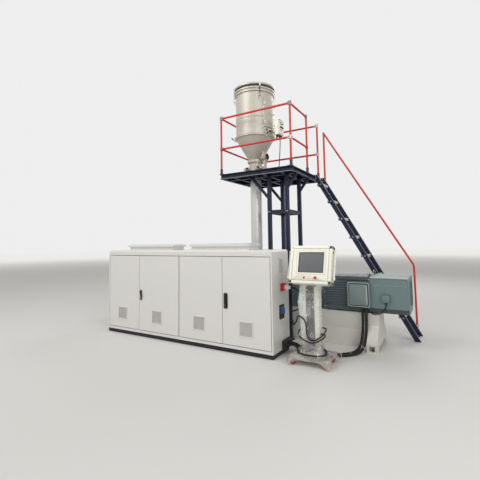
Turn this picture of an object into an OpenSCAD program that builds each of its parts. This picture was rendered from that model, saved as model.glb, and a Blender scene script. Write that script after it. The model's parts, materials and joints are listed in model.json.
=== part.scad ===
// Plastic extruder with control cabinet, hopper platform and operator panel.
// Millimetres. The origin is on the floor, under the feed throat on the screw axis.
// X runs along the screw towards the motor, Y away from the operator, Z up.

/* [Cabinet] */
// Length of the control cabinet
cab_l = 3250; // [3150:10:3400]
// Depth of the control cabinet
cab_d = 540; // [500:10:580]
// Height of the control cabinet
cab_h = 1420; // [1400:5:1440]
// Height of the black plinth
plinth_h = 63; // [50:1:80]
// How far the plinth stands back from the cabinet's faces
plinth_inset = 8; // [4:1:20]
// Height of the sill between plinth and doors
sill_h = 37; // [30:1:60]
// Height of the roof cap above the doors
cap_h = 84; // [70:1:110]
// How far the sill stands out under the doors
sill_out = 8; // [4:1:9]
// Chamfer round the top of the roof cap
cap_chamfer = 22; // [10:1:30]
// Thickness of the cabinet's side walls
side_t = 20; // [16:1:30]
// Thickness of the cabinet's back sheet
back_t = 4; // [3:1:8]
// Distance from the screw axis to the cabinet's front
cab_front = 1310; // [1290:5:1340]
// Distance from the feed throat to the cabinet's right side
cab_right = 920; // [900:5:940]

/* [Doors] */
// Thickness of a door, over its folded edges
door_t = 20; // [18:1:26]
// Thickness of a door's front sheet
door_sheet = 3; // [2:0.5:5]
// Width of a door's folded edge
door_rim = 34; // [30:1:45]
// Gap round a door
door_gap = 8; // [8:0.5:10]
// Distance from a door's edge to its hinge axis
hinge_inset = 20; // [18:1:24]
// Radius of a hinge pin
pin_r = 5; // [4:0.5:6]
// Radial clearance of a hinge pin in its bore
pin_clear = 0.06; // [0.02:0.01:0.1]
// Distance from the cabinet's left side to the first door seam
seam_1 = 773; // [740:1:800]
// Distance from the cabinet's left side to the middle seam
seam_2 = 1645; // [1600:1:1680]
// Distance from the cabinet's left side to the third door seam
seam_3 = 2456; // [2420:1:2500]
// Distance from a door's edge to its handle
handle_in = 24; // [16:1:30]
// Width of a door's air grille
grille_w = 222; // [180:1:260]
// Height of a door's air grille
grille_h = 210; // [160:1:240]
// How far an air grille stands out of its door
grille_t = 10; // [6:1:14]
// Height of the grilles' lower edge above the floor
grille_z = 240; // [200:1:300]
// Distance from the first door's left edge to its grille
grille_x1 = 244; // [220:1:270]
// Distance from the second door's left edge to its grille
grille_x2 = 298; // [270:1:320]
// Distance from the third and fourth doors' left edges to their grilles
grille_x3 = 275; // [250:1:300]

/* [Roof vents] */
// Length of the left roof vent
vent_l1 = 1060; // [900:10:1150]
// Length of the right roof vent
vent_l2 = 1090; // [900:10:1150]
// Distance from the cabinet's left side to the left roof vent
vent_x1 = 410; // [350:10:450]
// Distance from the cabinet's left side to the right roof vent
vent_x2 = 1790; // [1700:10:1850]
// Depth of a roof vent
vent_d = 330; // [250:10:380]
// Height of a roof vent
vent_h = 100; // [80:1:130]

/* [Side fittings] */
// Side length of the power socket's flange
socket_w = 110; // [90:1:130]
// Radius of the power socket's barrel
socket_r = 42; // [36:1:50]
// How far the power socket stands out
socket_out = 52; // [45:1:100]
// Width of the isolator plate
isolator_w = 140; // [110:1:160]
// Height of the isolator plate
isolator_h = 190; // [150:1:220]
// Radius of the isolator knob
knob_r = 34; // [26:1:40]
// Width of the side vent plate
side_vent_w = 160; // [140:2:180]
// Height of the side vent plate
side_vent_h = 226; // [200:2:240]

/* [Bed] */
// Height of the bed's top
bed_h = 500; // [470:5:520]
// Half width of the bed's top
bed_half = 200; // [180:5:210]
// Half width of the bed at the floor
bed_foot_half = 216; // [210:1:220]
// Distance from the feed throat to the bed's right end
bed_right = 1900; // [1850:10:1950]
// Distance from the bed's left end to the barrel's end flange
bed_gap = 40; // [20:5:80]
// Length of the end foot along the screw
foot_l = 140; // [120:5:160]
// Half width of the end foot at the floor
foot_half = 420; // [380:5:450]

/* [Motor] */
// Length of the motor's finned frame
motor_l = 680; // [650:5:710]
// Length of the motor's smooth hood
hood_l = 500; // [470:5:530]
// Width and height of the motor
motor_w = 500; // [480:5:520]
// Height of the motor's lower edge
motor_z = 518; // [510:1:530]
// Width of the terminal box
tbox_w = 320; // [300:5:340]
// Height of the terminal box
tbox_h = 360; // [320:5:380]
// Depth of the terminal box
tbox_d = 70; // [55:1:90]

/* [Gearbox] */
// Height of the screw axis above the floor
screw_h = 1000; // [980:5:1010]
// Length of the gearbox
gear_l = 840; // [800:5:880]
// Width of the gearbox
gear_w = 410; // [380:5:430]
// Height of the gearbox above the bed
gear_h = 760; // [720:5:800]
// Distance from the feed throat to the gearbox
gear_x = 230; // [210:5:260]

/* [Barrel] */
// Length of the barrel left of the feed throat
barrel_l = 2750; // [2600:10:2900]
// Outer radius of the barrel
barrel_r = 85; // [70:1:90]
// Radius of the screw bore
screw_r = 45; // [38:1:50]
// Thickness of the barrel's end flange
flange_t = 60; // [50:5:70]
// Radius of the bolt circle on the barrel's end flange
bolt_circle_r = 110; // [105:1:115]
// Radius of a bolt hole in the barrel's end flange
bolt_hole_r = 9; // [7:0.5:10]
// Number of heating zones
zones = 5; // [4:1:6]
// Outer radius of a heating zone
zone_r = 150; // [130:1:160]
// Length of a heating zone
zone_l = 400; // [340:5:420]

/* [Tower] */
// Reach of a left knee brace under the deck
brace_run_left = 320; // [300:5:340]
// Reach of a right knee brace under the deck
brace_run_right = 165; // [150:5:175]
// Side length of a tower column
col_w = 60; // [50:1:70]
// Distance between the column centres along X
col_dx = 320; // [280:5:360]
// Half distance between the column rows along Y
col_half = 270; // [262:1:290]
// Distance from the feed throat to the tower's centre
tower_x = 560; // [540:5:580]
// Height of the tower's middle beams
beam_z = 2000; // [1900:10:2100]

/* [Platform] */
// Height of the platform's deck
deck_h = 2720; // [2700:5:2760]
// Length of the platform
deck_l = 1360; // [1340:10:1380]
// Distance from the screw axis to the platform's front edge
deck_front = 534; // [520:2:560]
// Distance from the screw axis to the platform's back edge
deck_back = 830; // [800:5:860]
// Distance from the hopper's body to the left guard rail
rail_clear = 43; // [30:1:60]
// Height of the deck's edge channels
edge_h = 80; // [70:1:100]
// Thickness of the deck plate
plate_t = 5; // [4:1:8]
// Width of the deck's edge channels
edge_w = 50; // [40:1:60]
// Height of the guard rail above the deck
rail_h = 1005; // [980:5:1050]
// Height of the middle rail above the deck
mid_h = 454; // [420:2:500]
// Radius of the guard rail's tube
tube_r = 17; // [14:0.5:20]
// Distance from the screw axis to the post beside the stair
side_post = 217; // [200:1:240]

/* [Stair] */
// Width of the stair over its stringers
stair_w = 430; // [400:5:450]
// Distance from the screw axis to the stair's near side
stair_y = 460; // [440:5:480]
// Distance from the feed throat to the stair's foot
stair_foot = 2510; // [2480:5:2560]
// How far the stringers run level past the deck's edge
stair_lip = 60; // [40:5:80]
// Depth of a stringer, along the floor
stringer_run = 82; // [70:1:100]
// Thickness of a stringer
stringer_t = 40; // [30:1:45]
// Number of treads
tread_n = 8; // [7:1:8]
// Height from tread to tread
tread_rise = 315; // [305:1:320]
// Drop from the deck to the first tread
tread_drop = 160; // [150:1:180]
// Depth of a tread
tread_d = 96; // [85:1:110]
// How far a tread's front edge stands behind the stringers' upper edge
tread_back = 6; // [2:1:15]

/* [Hopper] */
// Outer radius of the hopper's body
hop_r = 345; // [330:1:360]
// Outer radius of the hopper's rim
hop_rim_r = 376; // [372:1:392]
// Thickness of the hopper's insulated wall
hop_wall = 40; // [25:1:60]
// Height of the slide gate's housing, from the deck to the cone's lower flange
gate_h = 265; // [240:5:300]
// Height of the cone, from its lower flange to the joint with the body
cone_h = 435; // [420:5:460]
// Height of the hopper's body, from the joint to the top of the rim
body_h = 915; // [880:5:930]
// Outer radius of the cone's lower end
cone_low_r = 124; // [118:1:134]
// Outer radius of the feed pipe
feed_r = 100; // [80:1:110]
// Wall of the feed pipe
feed_wall = 4; // [3:0.5:6]

/* [Operator panel] */
// Distance from the feed throat to the panel's column
panel_x = 1395; // [1380:1:1420]
// Distance from the screw axis to the panel's column
panel_y = 1150; // [1130:1:1160]
// Width of the panel's base
base_w = 500; // [460:5:520]
// Depth of the panel's base
base_d = 400; // [380:5:430]
// Radius of a castor's wheel
wheel_r = 30; // [25:1:35]
// Width of the panel's column
column_w = 230; // [220:1:300]
// Depth of the panel's column
column_d = 120; // [110:1:180]
// Height of the column's top
column_top = 960; // [940:5:970]
// Width of the panel box
box_w = 540; // [500:5:560]
// Height of the panel box
box_h = 480; // [450:5:500]
// Depth of the panel box
box_d = 130; // [110:1:150]
// Backward tilt of the panel box
box_tilt = 17; // [12:1:20]
// How far the panel box sits to the right of its column
box_shift = 60; // [40:1:70]
// Height of the panel box's centre
box_z = 1229; // [1225:1:1250]

/* [Hidden] */
$fn = 48;

white = "#e6e3dc";
black = "#1c1c1e";
navy = "#1c2236";
red = "#c83c32";
cream = "#d8d2c4";
motor_blue = "#69797b";
steel = "#b9bcbe";
panel_cream = "#e6e6d7";

// Clearance between pieces that seat on a round face
seat = 0.3;

cab_x0 = cab_right - cab_l;
cab_y0 = -cab_front;
cab_y1 = cab_y0 + cab_d;
door_z0 = plinth_h + sill_h + door_gap;
door_z1 = cab_h - cap_h - door_gap;
cap_z = cab_h - cap_h;
pin_y = cab_y0 + door_t / 2;
post_front = 40;

// Left and right edges of the doors, and the side that each is hinged on
door_edges = [
    [cab_x0 + side_t + door_gap, cab_x0 + seam_1 - door_gap / 2, -1],
    [cab_x0 + seam_1 + door_gap / 2, cab_x0 + seam_2 - door_gap, 1],
    [cab_x0 + seam_2 + door_gap, cab_x0 + seam_3 - door_gap / 2, -1],
    [cab_x0 + seam_3 + door_gap / 2, cab_right - side_t - door_gap, 1]
];
function pin_x(i) = door_edges[i][2] < 0
    ? door_edges[i][0] + hinge_inset
    : door_edges[i][1] - hinge_inset;

post_in = edge_w / 2;
deck_x0 = -(hop_r + rail_clear + tube_r + post_in);
deck_x1 = deck_x0 + deck_l;
deck_y0 = -deck_front;
deck_y1 = deck_back;
frame_top = deck_h - plate_t;
frame_low = frame_top - edge_h;

cone_low = deck_h + gate_h;
hop_joint = cone_low + cone_h;
hop_top = hop_joint + body_h;

stair_top_x = deck_x1 + stair_lip;
stair_slope = deck_h / (stair_foot - stair_top_x);
throat_l = 250;
barrel_x0 = -throat_l / 2 - barrel_l;
zone_pitch = (barrel_l - 350) / zones;
bed_x0 = barrel_x0 + flange_t + bed_gap;

// A rod between two points
module rod(a, b, r) {
    v = b - a;
    translate(a)
        rotate([0, acos(v[2] / norm(v)), atan2(v[1], v[0])])
            cylinder(r = r, h = norm(v));
}

// A box given by its low corner and its size
module block(at, size) {
    translate(at)
        cube(size);
}

// A plate of round corners that stands up in XZ, from y to y + t
module upright_plate(x0, z0, w, h, y, t, r) {
    translate([x0, y + t, z0])
        rotate([90, 0, 0])
            linear_extrude(t)
                rounded(w, h, r);
}

module rounded(w, h, r) {
    hull()
        for (x = [r, w - r], z = [r, h - r])
            translate([x, z])
                circle(r = r, $fn = 32);
}

// A cord swept along its points with flat ends
function unit(v) = v / norm(v);
function path_dir(p, i) =
    i == 0 ? unit(p[1] - p[0])
    : i == len(p) - 1 ? unit(p[i] - p[i - 1])
    : unit(unit(p[i + 1] - p[i]) + unit(p[i] - p[i - 1]));
function side_of(d) = abs(d[2]) > 0.9 ? unit(cross([0, 1, 0], d)) : unit(cross([0, 0, 1], d));
function carried(p, i) = i == 0
    ? side_of(path_dir(p, 0))
    : let (u = carried(p, i - 1), d = path_dir(p, i)) unit(u - (u * d) * d);

module cord(p, r, sides) {
    n = len(p);
    pts = [
        for (i = [0 : n - 1])
            let (d = path_dir(p, i), u = carried(p, i), w = cross(d, u))
                for (k = [0 : sides - 1])
                    p[i] + r * (cos(360 * k / sides) * u + sin(360 * k / sides) * w)
    ];
    faces = concat(
        [[for (k = [sides - 1 : -1 : 0]) k]],
        [for (i = [0 : n - 2], k = [0 : sides - 1])
            let (a = i * sides + k, b = i * sides + (k + 1) % sides)
                [a, b, b + sides]],
        [for (i = [0 : n - 2], k = [0 : sides - 1])
            let (a = i * sides + k, b = i * sides + (k + 1) % sides)
                [a, b + sides, a + sides]],
        [[for (k = [0 : sides - 1]) (n - 1) * sides + k]]
    );
    polyhedron(points = pts, faces = [for (f = faces) [for (k = [len(f) - 1 : -1 : 0]) f[k]]], convexity = 6);
}

module cabinet_plinth() {
    color(black)
        block([cab_x0 + plinth_inset, cab_y0 + plinth_inset, 0],
            [cab_l - 2 * plinth_inset, cab_d - 2 * plinth_inset, plinth_h]);
}

module cabinet_floor() {
    color(white) {
        block([cab_x0, cab_y0 - sill_out, plinth_h], [cab_l, cab_d + sill_out, sill_h]);
        for (i = [0 : 3])
            translate([pin_x(i), pin_y, plinth_h + sill_h - 1])
                cylinder(r = pin_r, h = door_gap + 21);
    }
}

module cabinet_sides() {
    color(white)
        for (x = [cab_x0, cab_right - side_t])
            block([x, cab_y0, plinth_h + sill_h], [side_t, cab_d, cap_z - plinth_h - sill_h]);
}

module cabinet_back() {
    color(white)
        block([cab_x0 + side_t, cab_y1 - back_t, plinth_h + sill_h],
            [cab_l - 2 * side_t, back_t, cap_z - plinth_h - sill_h]);
}

module cabinet_roof() {
    c = cap_chamfer;
    color(white) {
        intersection() {
            translate([cab_x0, cab_y1, cap_z])
                rotate([90, 0, 0])
                    linear_extrude(cab_d)
                        polygon([[0, 0], [cab_l, 0], [cab_l, cap_h - c], [cab_l - c, cap_h],
                            [c, cap_h], [0, cap_h - c]]);
            translate([cab_x0, cab_y0, cap_z])
                rotate([90, 0, 90])
                    linear_extrude(cab_l)
                        polygon([[0, 0], [cab_d, 0], [cab_d, cap_h - c], [cab_d - c, cap_h],
                            [c, cap_h], [0, cap_h - c]]);
        }
        for (i = [0 : 3])
            translate([pin_x(i), pin_y, cap_z - door_gap - 20])
                cylinder(r = pin_r, h = door_gap + 21);
    }
}

module cabinet_centre_post() {
    color(white)
        block([cab_x0 + seam_2 - 30, cab_y0 + post_front, plinth_h + sill_h],
            [60, 40, cap_z - plinth_h - sill_h]);
}

plate_z = plinth_h + sill_h + 80;
plate_h = cap_z - 56 - plate_z;
plate_w = cab_l / 2 - side_t - 205;
module mounting_plates() {
    bays = [[cab_x0 + side_t, cab_x0 + seam_2], [cab_x0 + seam_2, cab_right - side_t]];
    color(steel)
        for (b = bays) {
            mid = (b[0] + b[1]) / 2;
            block([mid - plate_w / 2, cab_y1 - back_t - 33, plate_z], [plate_w, 3, plate_h]);
            for (sx = [-1, 1], z = [plate_z + 60, plate_z + plate_h - 60])
                translate([mid + sx * (plate_w / 2 - 60), cab_y1 - back_t, z])
                    rotate([90, 0, 0])
                        cylinder(r = 12, h = 31);
        }
}

grille_rim = 12;
grille_x = [grille_x1, grille_x2, grille_x3, grille_x3];
module door(i) {
    e = door_edges[i];
    w = e[1] - e[0];
    h = door_z1 - door_z0;
    color(white)
        difference() {
            union() {
                block([e[0], cab_y0, door_z0], [w, door_t, h]);
                block([e[0] + grille_x[i], cab_y0 - grille_t, grille_z],
                    [grille_w, grille_t + 1, grille_h]);
            }
            block([e[0] + grille_x[i] + grille_rim, cab_y0 - grille_t - 1, grille_z + grille_rim],
                [grille_w - 2 * grille_rim, grille_t - 1, grille_h - 2 * grille_rim]);
            block([e[0] + door_rim, cab_y0 + door_sheet, door_z0 + door_rim],
                [w - 2 * door_rim, door_t, h - 2 * door_rim]);
            for (z = [door_z0 - 1, door_z1 - 21])
                translate([pin_x(i), pin_y, z])
                    cylinder(r = pin_r + pin_clear, h = 22);
        }
}
module door_1() { door(0); }
module door_2() { door(1); }
module door_3() { door(2); }
module door_4() { door(3); }

// The swing handle of door 2: escutcheon, lever that hangs a little askew, and lock below it
module door_2_handle() {
    x = door_edges[1][0] + handle_in;
    color(black) {
        upright_plate(x, 592, 34, 172, cab_y0 - 6, 6, 12);
        translate([x + 17, cab_y0 - 6, 735])
            rotate([0, -10, 0]) {
                rotate([90, 0, 0])
                    cylinder(r = 13, h = 16);
                translate([0, 0, -120])
                    upright_plate(-10, 0, 20, 125, -20, 12, 9);
            }
        translate([x + 17, cab_y0 - 6, 612])
            rotate([90, 0, 0])
                cylinder(r = 10, h = 8);
    }
}

// The bar handle of door 4 in its escutcheon
module door_4_handle() {
    x = door_edges[3][0] + handle_in;
    color(black) {
        difference() {
            upright_plate(x, 600, 62, 216, cab_y0 - 10, 10, 14);
            upright_plate(x + 8, 630, 46, 156, cab_y0 - 11, 6, 10);
        }
        upright_plate(x + 18, 622, 26, 172, cab_y0 - 30, 14, 8);
        for (z = [640, 776])
            translate([x + 31, cab_y0 - 4, z])
                rotate([90, 0, 0])
                    cylinder(r = 8, h = 14);
    }
}

vent_at = 60;
vent_lift = 56;
vent_wall = 3;
vent_slot = 20;
vent_slots = 6;
// One roof vent: a closed neck with slots along its front and back, under a hipped cover
module roof_vent(x, l) {
    base = 30;
    slope = 40;
    cover = vent_h - vent_lift;
    pitch = (l - 2 * base - 34) / vent_slots;
    color(white) {
        difference() {
            block([x + base, cab_y0 + vent_at + base, cab_h],
                [l - 2 * base, vent_d - 2 * base, vent_lift]);
            for (k = [0 : vent_slots - 1], y = [cab_y0 + vent_at + base - 1,
                    cab_y0 + vent_at + vent_d - base - vent_wall])
                block([x + base + 30 + k * pitch, y, cab_h + 26], [pitch - 26, vent_wall + 1, vent_slot]);
        }
        translate([x, cab_y0 + vent_at, cab_h + vent_lift])
            intersection() {
                translate([0, vent_d, 0])
                    rotate([90, 0, 0])
                        linear_extrude(vent_d)
                            polygon([[0, 0], [l, 0], [l, cover / 2], [l - slope, cover], [slope, cover],
                                [0, cover / 2]]);
                rotate([90, 0, 90])
                    linear_extrude(l)
                        polygon([[0, 0], [vent_d, 0], [vent_d, cover / 2], [vent_d - slope, cover],
                            [slope, cover], [0, cover / 2]]);
            }
    }
}
module roof_vents() {
    roof_vent(cab_x0 + vent_x1, vent_l1);
    roof_vent(cab_x0 + vent_x2, vent_l2);
}

socket_y = cab_y0 + 310;
socket_z = 905;
socket_wall = 8;
socket_floor = 20;
// The power socket: flange, barrel open to the front, and the sprung lid held up by the plug
module power_socket() {
    color(red)
        translate([cab_right, socket_y, socket_z])
            rotate([90, 0, 90]) {
                difference() {
                    union() {
                        translate([-socket_w / 2, -socket_w / 2])
                            linear_extrude(14)
                                rounded(socket_w, socket_w, 12);
                        cylinder(r = socket_r, h = socket_out);
                        translate([0, 0, socket_out - 16])
                            cylinder(r = socket_r + 5, h = 16);
                        translate([-14, socket_r - 4, socket_out - 30])
                            cube([28, 18, 38]);
                    }
                    translate([0, 0, socket_floor])
                        cylinder(r = socket_r - socket_wall, h = socket_out);
                }
                translate([0, socket_r + 9, socket_out - 2])
                    rotate([lid_open, 0, 0])
                        translate([0, -socket_r - 6, 0])
                            cylinder(r = socket_r + 4, h = 6);
            }
}

lid_open = -105;
plug_end = 130;
plug_r = socket_r - socket_wall - seat;
module power_plug() {
    color("#f1efe9")
        translate([cab_right, socket_y, socket_z])
            rotate([0, 90, 0])
                rotate_extrude()
                    polygon([[0, socket_floor + seat], [plug_r, socket_floor + seat],
                        [plug_r, socket_out + 6], [plug_r + 4, socket_out + 8],
                        [plug_r + 4, socket_out + 28],
                        [plug_r - 2, socket_out + 31], [plug_r - 3, plug_end - 36], [20, plug_end - 24],
                        [20, plug_end - 6], [16, plug_end], [0, plug_end]]);
}

iso_y = cab_y0 + 275;
iso_z = 575;
module isolator_plate() {
    color(black)
        translate([cab_right, iso_y, iso_z])
            rotate([90, 0, 90])
                difference() {
                    translate([-isolator_w / 2, -isolator_h / 2])
                        linear_extrude(12)
                            rounded(isolator_w, isolator_h, 8);
                    translate([0, 20, 4])
                        cylinder(r = 6 + pin_clear, h = 20);
                }
}

module isolator_knob() {
    color("#2a5ca8")
        translate([cab_right, iso_y, iso_z + 20])
            rotate([90, 0, 90]) {
                translate([0, 0, 5])
                    cylinder(r = 6, h = 20);
                translate([0, 0, 17])
                    cylinder(r = knob_r, h = 18);
                translate([-9, -knob_r, 17])
                    cube([18, 2 * knob_r, 36]);
            }
}

side_vent_y = cab_y0 + 190;
side_vent_z = 1085;
module side_vent() {
    color(white)
        translate([cab_right, side_vent_y, side_vent_z])
            rotate([90, 0, 90])
                difference() {
                    linear_extrude(8)
                        rounded(side_vent_w, side_vent_h, 8);
                    for (k = [0 : 11])
                        translate([16, 18 + k * (side_vent_h - 28) / 12, 3])
                            cube([side_vent_w - 32, 7, 10]);
                }
}

gland_out = 70;
gland_nut = 24;
gland_w = 260;
gland_h = 110;
gland_z = 72;
gland_y = cab_y1 - 10 - gland_w;
conduit_r = 20;
conduit_z = 125;
conduit_ys = [-930, -884];
power_y = -990;
power_r = 10;
gland_nuts = [[conduit_ys[0], conduit_r], [conduit_ys[1], conduit_r], [power_y, power_r]];
// The cable gland box with a nut round each floor conduit and round the panel's power cable
module cable_gland_box() {
    body = gland_out - gland_nut;
    color(black) {
        block([cab_right, gland_y, gland_z], [body, gland_w, gland_h]);
        for (n = gland_nuts)
            translate([cab_right + body - 1, n[0], conduit_z])
                rotate([0, 90, 0])
                    cylinder(r = n[1] + 2.5, h = gland_nut + 1);
    }
}

// The barrel's rest stands midway between the last heating zone and the end flange
rest_l = 100;
rest_x = (zone_x(zones - 1) + barrel_x0 + flange_t) / 2;
module extruder_bed() {
    color(white) {
        translate([bed_x0, 0, 0])
            rotate([90, 0, 90])
                linear_extrude(bed_right - bed_x0)
                    polygon([[-bed_foot_half, 0], [bed_foot_half, 0], [bed_half, 250],
                        [bed_half, bed_h], [-bed_half, bed_h], [-bed_half, 250]]);
        block([rest_x - rest_l / 2, -70, bed_h - 1],
            [rest_l, 140, screw_h - barrel_r - seat - bed_h + 1]);
    }
}

foot_neck = 230;
foot_flare_z = 300;
foot_toe = 110;
pocket_w = 76;
// The end foot: a flared box with a toe at each side, each with a pocket for its floor bolt
module end_foot() {
    color(white)
        difference() {
            translate([bed_right, 0, 0])
                rotate([90, 0, 90])
                    linear_extrude(foot_l)
                        polygon([[-foot_half, 0], [-foot_half + 130, 0], [-foot_half + 170, 60],
                            [foot_half - 170, 60], [foot_half - 130, 0], [foot_half, 0],
                            [foot_half, foot_toe], [foot_half - 14, foot_toe + 10],
                            [foot_neck + 14, foot_flare_z], [foot_neck, foot_flare_z + 30],
                            [foot_neck, bed_h], [-foot_neck, bed_h], [-foot_neck, foot_flare_z + 30],
                            [-foot_neck - 14, foot_flare_z], [-foot_half + 14, foot_toe + 10],
                            [-foot_half, foot_toe]]);
            for (sy = [-1, 1]) {
                translate([bed_right + (foot_l - pocket_w) / 2, sy * foot_half, 0])
                    block([0, sy < 0 ? -1 : -89, 20], [pocket_w, 90, foot_toe - 40]);
                translate([bed_right + foot_l / 2, sy * foot_neck, foot_flare_z + 90])
                    rotate([90, 0, 0])
                        cylinder(r = 12, h = 40, center = true);
            }
        }
}

gear_top = bed_h + gear_h;
gear_split = screw_h + 20;
// The gearbox: feet, ribbed lower case, parting flange, sloped cover, bearing caps and input bell
module gearbox() {
    case_w = gear_w - 50;
    x0 = gear_x + 20;
    x1 = gear_x + gear_l - 20;
    color(motor_blue) {
        block([gear_x, -gear_w / 2, bed_h], [gear_l, gear_w, 30]);
        block([x0, -case_w / 2, bed_h + 29], [x1 - x0, case_w, gear_split - bed_h - 29]);
        for (k = [0 : 4], sy = [-1, 1])
            block([x0 + 30 + k * (x1 - x0 - 76) / 4, sy > 0 ? case_w / 2 - 1 : -gear_w / 2, bed_h + 29],
                [16, (gear_w - case_w) / 2 + 1, gear_split - bed_h - 52]);
        block([gear_x, -gear_w / 2, gear_split - 24], [gear_l, gear_w, 48]);
        translate([0, case_w / 2, gear_split + 23])
            rotate([90, 0, 0])
                linear_extrude(case_w)
                    polygon([[x0, 0], [x1, 0], [x1, 60], [x1 - 160, gear_top - gear_split - 23],
                        [x0 + 60, gear_top - gear_split - 23], [x0, 150]]);
        block([x0 + 150, -case_w / 2 + 70, gear_top - 1], [300, case_w - 140, 14]);
        translate([gear_x - 60, 0, screw_h])
            rotate([0, 90, 0]) {
                cylinder(r = 165, h = 30);
                cylinder(r = 140, h = 81);
            }
        translate([x1 - 1, 0, motor_z + motor_w / 2])
            rotate([0, 90, 0]) {
                cylinder(r = 170, h = motor_x - x1 + 1);
                translate([0, 0, motor_x - x1 - 24])
                    cylinder(r = 205, h = 25);
            }
        for (sx = [x0 + 60, x1 - 60])
            translate([sx, case_w / 2 + 12, gear_split - 110])
                rotate([90, 0, 0])
                    cylinder(r = 58, h = case_w + 24);
    }
}

motor_x = 1270;
motor_y = motor_w / 2;
fin_step = 36;
// The motor's frame: end plates, four corner rails, fins along the sides and two feet
module motor_frame() {
    in = 22;
    rail = 46;
    color(motor_blue) {
        block([motor_x, -motor_y + in, motor_z + 4], [motor_l, motor_w - 2 * in, motor_w - 8]);
        for (x = [motor_x, motor_x + motor_l - 30])
            block([x, -motor_y, motor_z], [30, motor_w, motor_w]);
        for (z = [motor_z + 8, motor_z + motor_w - rail - 8])
            block([motor_x + 29, -motor_y + 4, z], [motor_l - 58, motor_w - 8, rail]);
        for (k = [0 : 9])
            block([motor_x + 29, -motor_y + 8, motor_z + rail + 36 + k * fin_step],
                [motor_l - 58, motor_w - 16, 9]);
        for (x = [motor_x + 60, motor_x + motor_l - 160])
            block([x, -bed_half, bed_h], [100, 2 * bed_half, motor_z - bed_h + 5]);
    }
}

hood_x = motor_x + motor_l;
jbox_x = hood_x + 155;
jbox_z = motor_z + 157;
jbox_w = 100;
jbox_d = 45;
hood_low = 62;
hood_lip = 12;
fold_in = 14;
// The hood: side sheets over a set back lower edge, a lid that rolls over, and a junction box
module motor_hood() {
    lid_r = 13;
    lid_z = motor_z + motor_w - lid_r;
    color(motor_blue) {
        block([hood_x, -motor_y + 10, motor_z], [hood_l - 6, motor_w - 20, hood_low + 1]);
        block([hood_x, -motor_y, motor_z + hood_low], [hood_l, motor_w, motor_w - hood_low - lid_r]);
        block([hood_x, -motor_y - hood_lip + lid_r, lid_z - lid_r + 1],
            [hood_l, motor_w + 2 * hood_lip - 2 * lid_r, 2 * lid_r - 1]);
        for (sy = [-1, 1])
            translate([hood_x, sy * (motor_y + hood_lip - lid_r), lid_z])
                rotate([0, 90, 0])
                    cylinder(r = lid_r, h = hood_l);
        for (sy = [-1, 1])
            block([hood_x + fold_in, sy > 0 ? motor_y - 1 : -motor_y - 4, motor_z + 372],
                [hood_l - 2 * fold_in, 5, 7]);
        block([hood_x + hood_l - 22, -motor_y - 5, motor_z + hood_low],
            [22, motor_w + 10, motor_w - hood_low - 26]);
        block([jbox_x, -motor_y - jbox_d + 10, jbox_z], [jbox_w, jbox_d - 9, jbox_w - 4]);
        block([jbox_x - 3, -motor_y - jbox_d, jbox_z - 3], [jbox_w + 6, 12, jbox_w + 2]);
    }
}

tbox_x = motor_x + 365;
tbox_z = motor_z + 65;
tbox_y = -motor_y - tbox_d;
tbox_glands = [1840, 1885, 1930];
tbox_gland_y = -285;
// The terminal box: a flanged casting, its crowned lid and the glands below
module terminal_box() {
    color(motor_blue) {
        upright_plate(tbox_x, tbox_z, tbox_w, tbox_h, -motor_y - 26, 26, 34);
        upright_plate(tbox_x + 14, tbox_z + 14, tbox_w - 28, tbox_h - 28, tbox_y + 24, tbox_d - 49, 28);
        upright_plate(tbox_x + 6, tbox_z + 6, tbox_w - 12, tbox_h - 12, tbox_y + 14, 11, 34);
        upright_plate(tbox_x + 34, tbox_z + 34, tbox_w - 68, tbox_h - 68, tbox_y, 15, 26);
        for (x = tbox_glands)
            translate([x, tbox_gland_y, tbox_z])
                cylinder(r = conduit_r + 2, h = 16);
    }
}

module feed_throat() {
    color(motor_blue)
        difference() {
            union() {
                block([-throat_l / 2, -125, screw_h - 130], [throat_l, 250, 260]);
                block([-throat_l / 2, -60, bed_h], [throat_l, 120, screw_h - bed_h - 129]);
                translate([0, 0, screw_h + 129])
                    cylinder(r = 140, h = 31);
                translate([throat_l / 2 - 1, 0, screw_h])
                    rotate([0, 90, 0])
                        cylinder(r = 150, h = gear_x - 60 - throat_l / 2 + 1);
            }
            translate([-throat_l / 2 - 1, 0, screw_h])
                rotate([0, 90, 0])
                    cylinder(r = screw_r, h = throat_l + 2);
            translate([0, 0, screw_h])
                cylinder(r = 70, h = 200);
        }
}

screw_clear = 0.3;
tip_l = 60;
// The barrel with its two flanges, and the screw with its tip inside it
module barrel() {
    color(steel) {
        translate([-throat_l / 2, 0, screw_h])
            rotate([0, -90, 0])
                difference() {
                    union() {
                        cylinder(r = barrel_r, h = barrel_l);
                        cylinder(r = 125, h = 40);
                        translate([0, 0, barrel_l - flange_t])
                            cylinder(r = 140, h = flange_t);
                    }
                    translate([0, 0, -1])
                        cylinder(r = screw_r, h = barrel_l + 2);
                    for (k = [0 : 7])
                        rotate([0, 0, 22.5 + 45 * k])
                            translate([bolt_circle_r, 0, barrel_l - flange_t - 1])
                                cylinder(r = bolt_hole_r, h = flange_t + 2);
                }
        translate([throat_l / 2 - seat, 0, screw_h])
            rotate([0, -90, 0]) {
                cylinder(r = screw_r - screw_clear, h = throat_l + barrel_l - tip_l);
                translate([0, 0, throat_l + barrel_l - tip_l])
                    cylinder(r1 = screw_r - screw_clear, r2 = 8, h = tip_l - 10);
            }
    }
}

function zone_x(i) = -throat_l / 2 - 110 - zone_pitch * i - zone_l;
module heating_zones() {
    color(steel)
        for (i = [0 : zones - 1])
            translate([zone_x(i), 0, screw_h])
                rotate([0, 90, 0])
                    difference() {
                        cylinder(r = zone_r, h = zone_l);
                        translate([0, 0, -1])
                            cylinder(r = barrel_r + seat, h = zone_l + 2);
                    }
}

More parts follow.
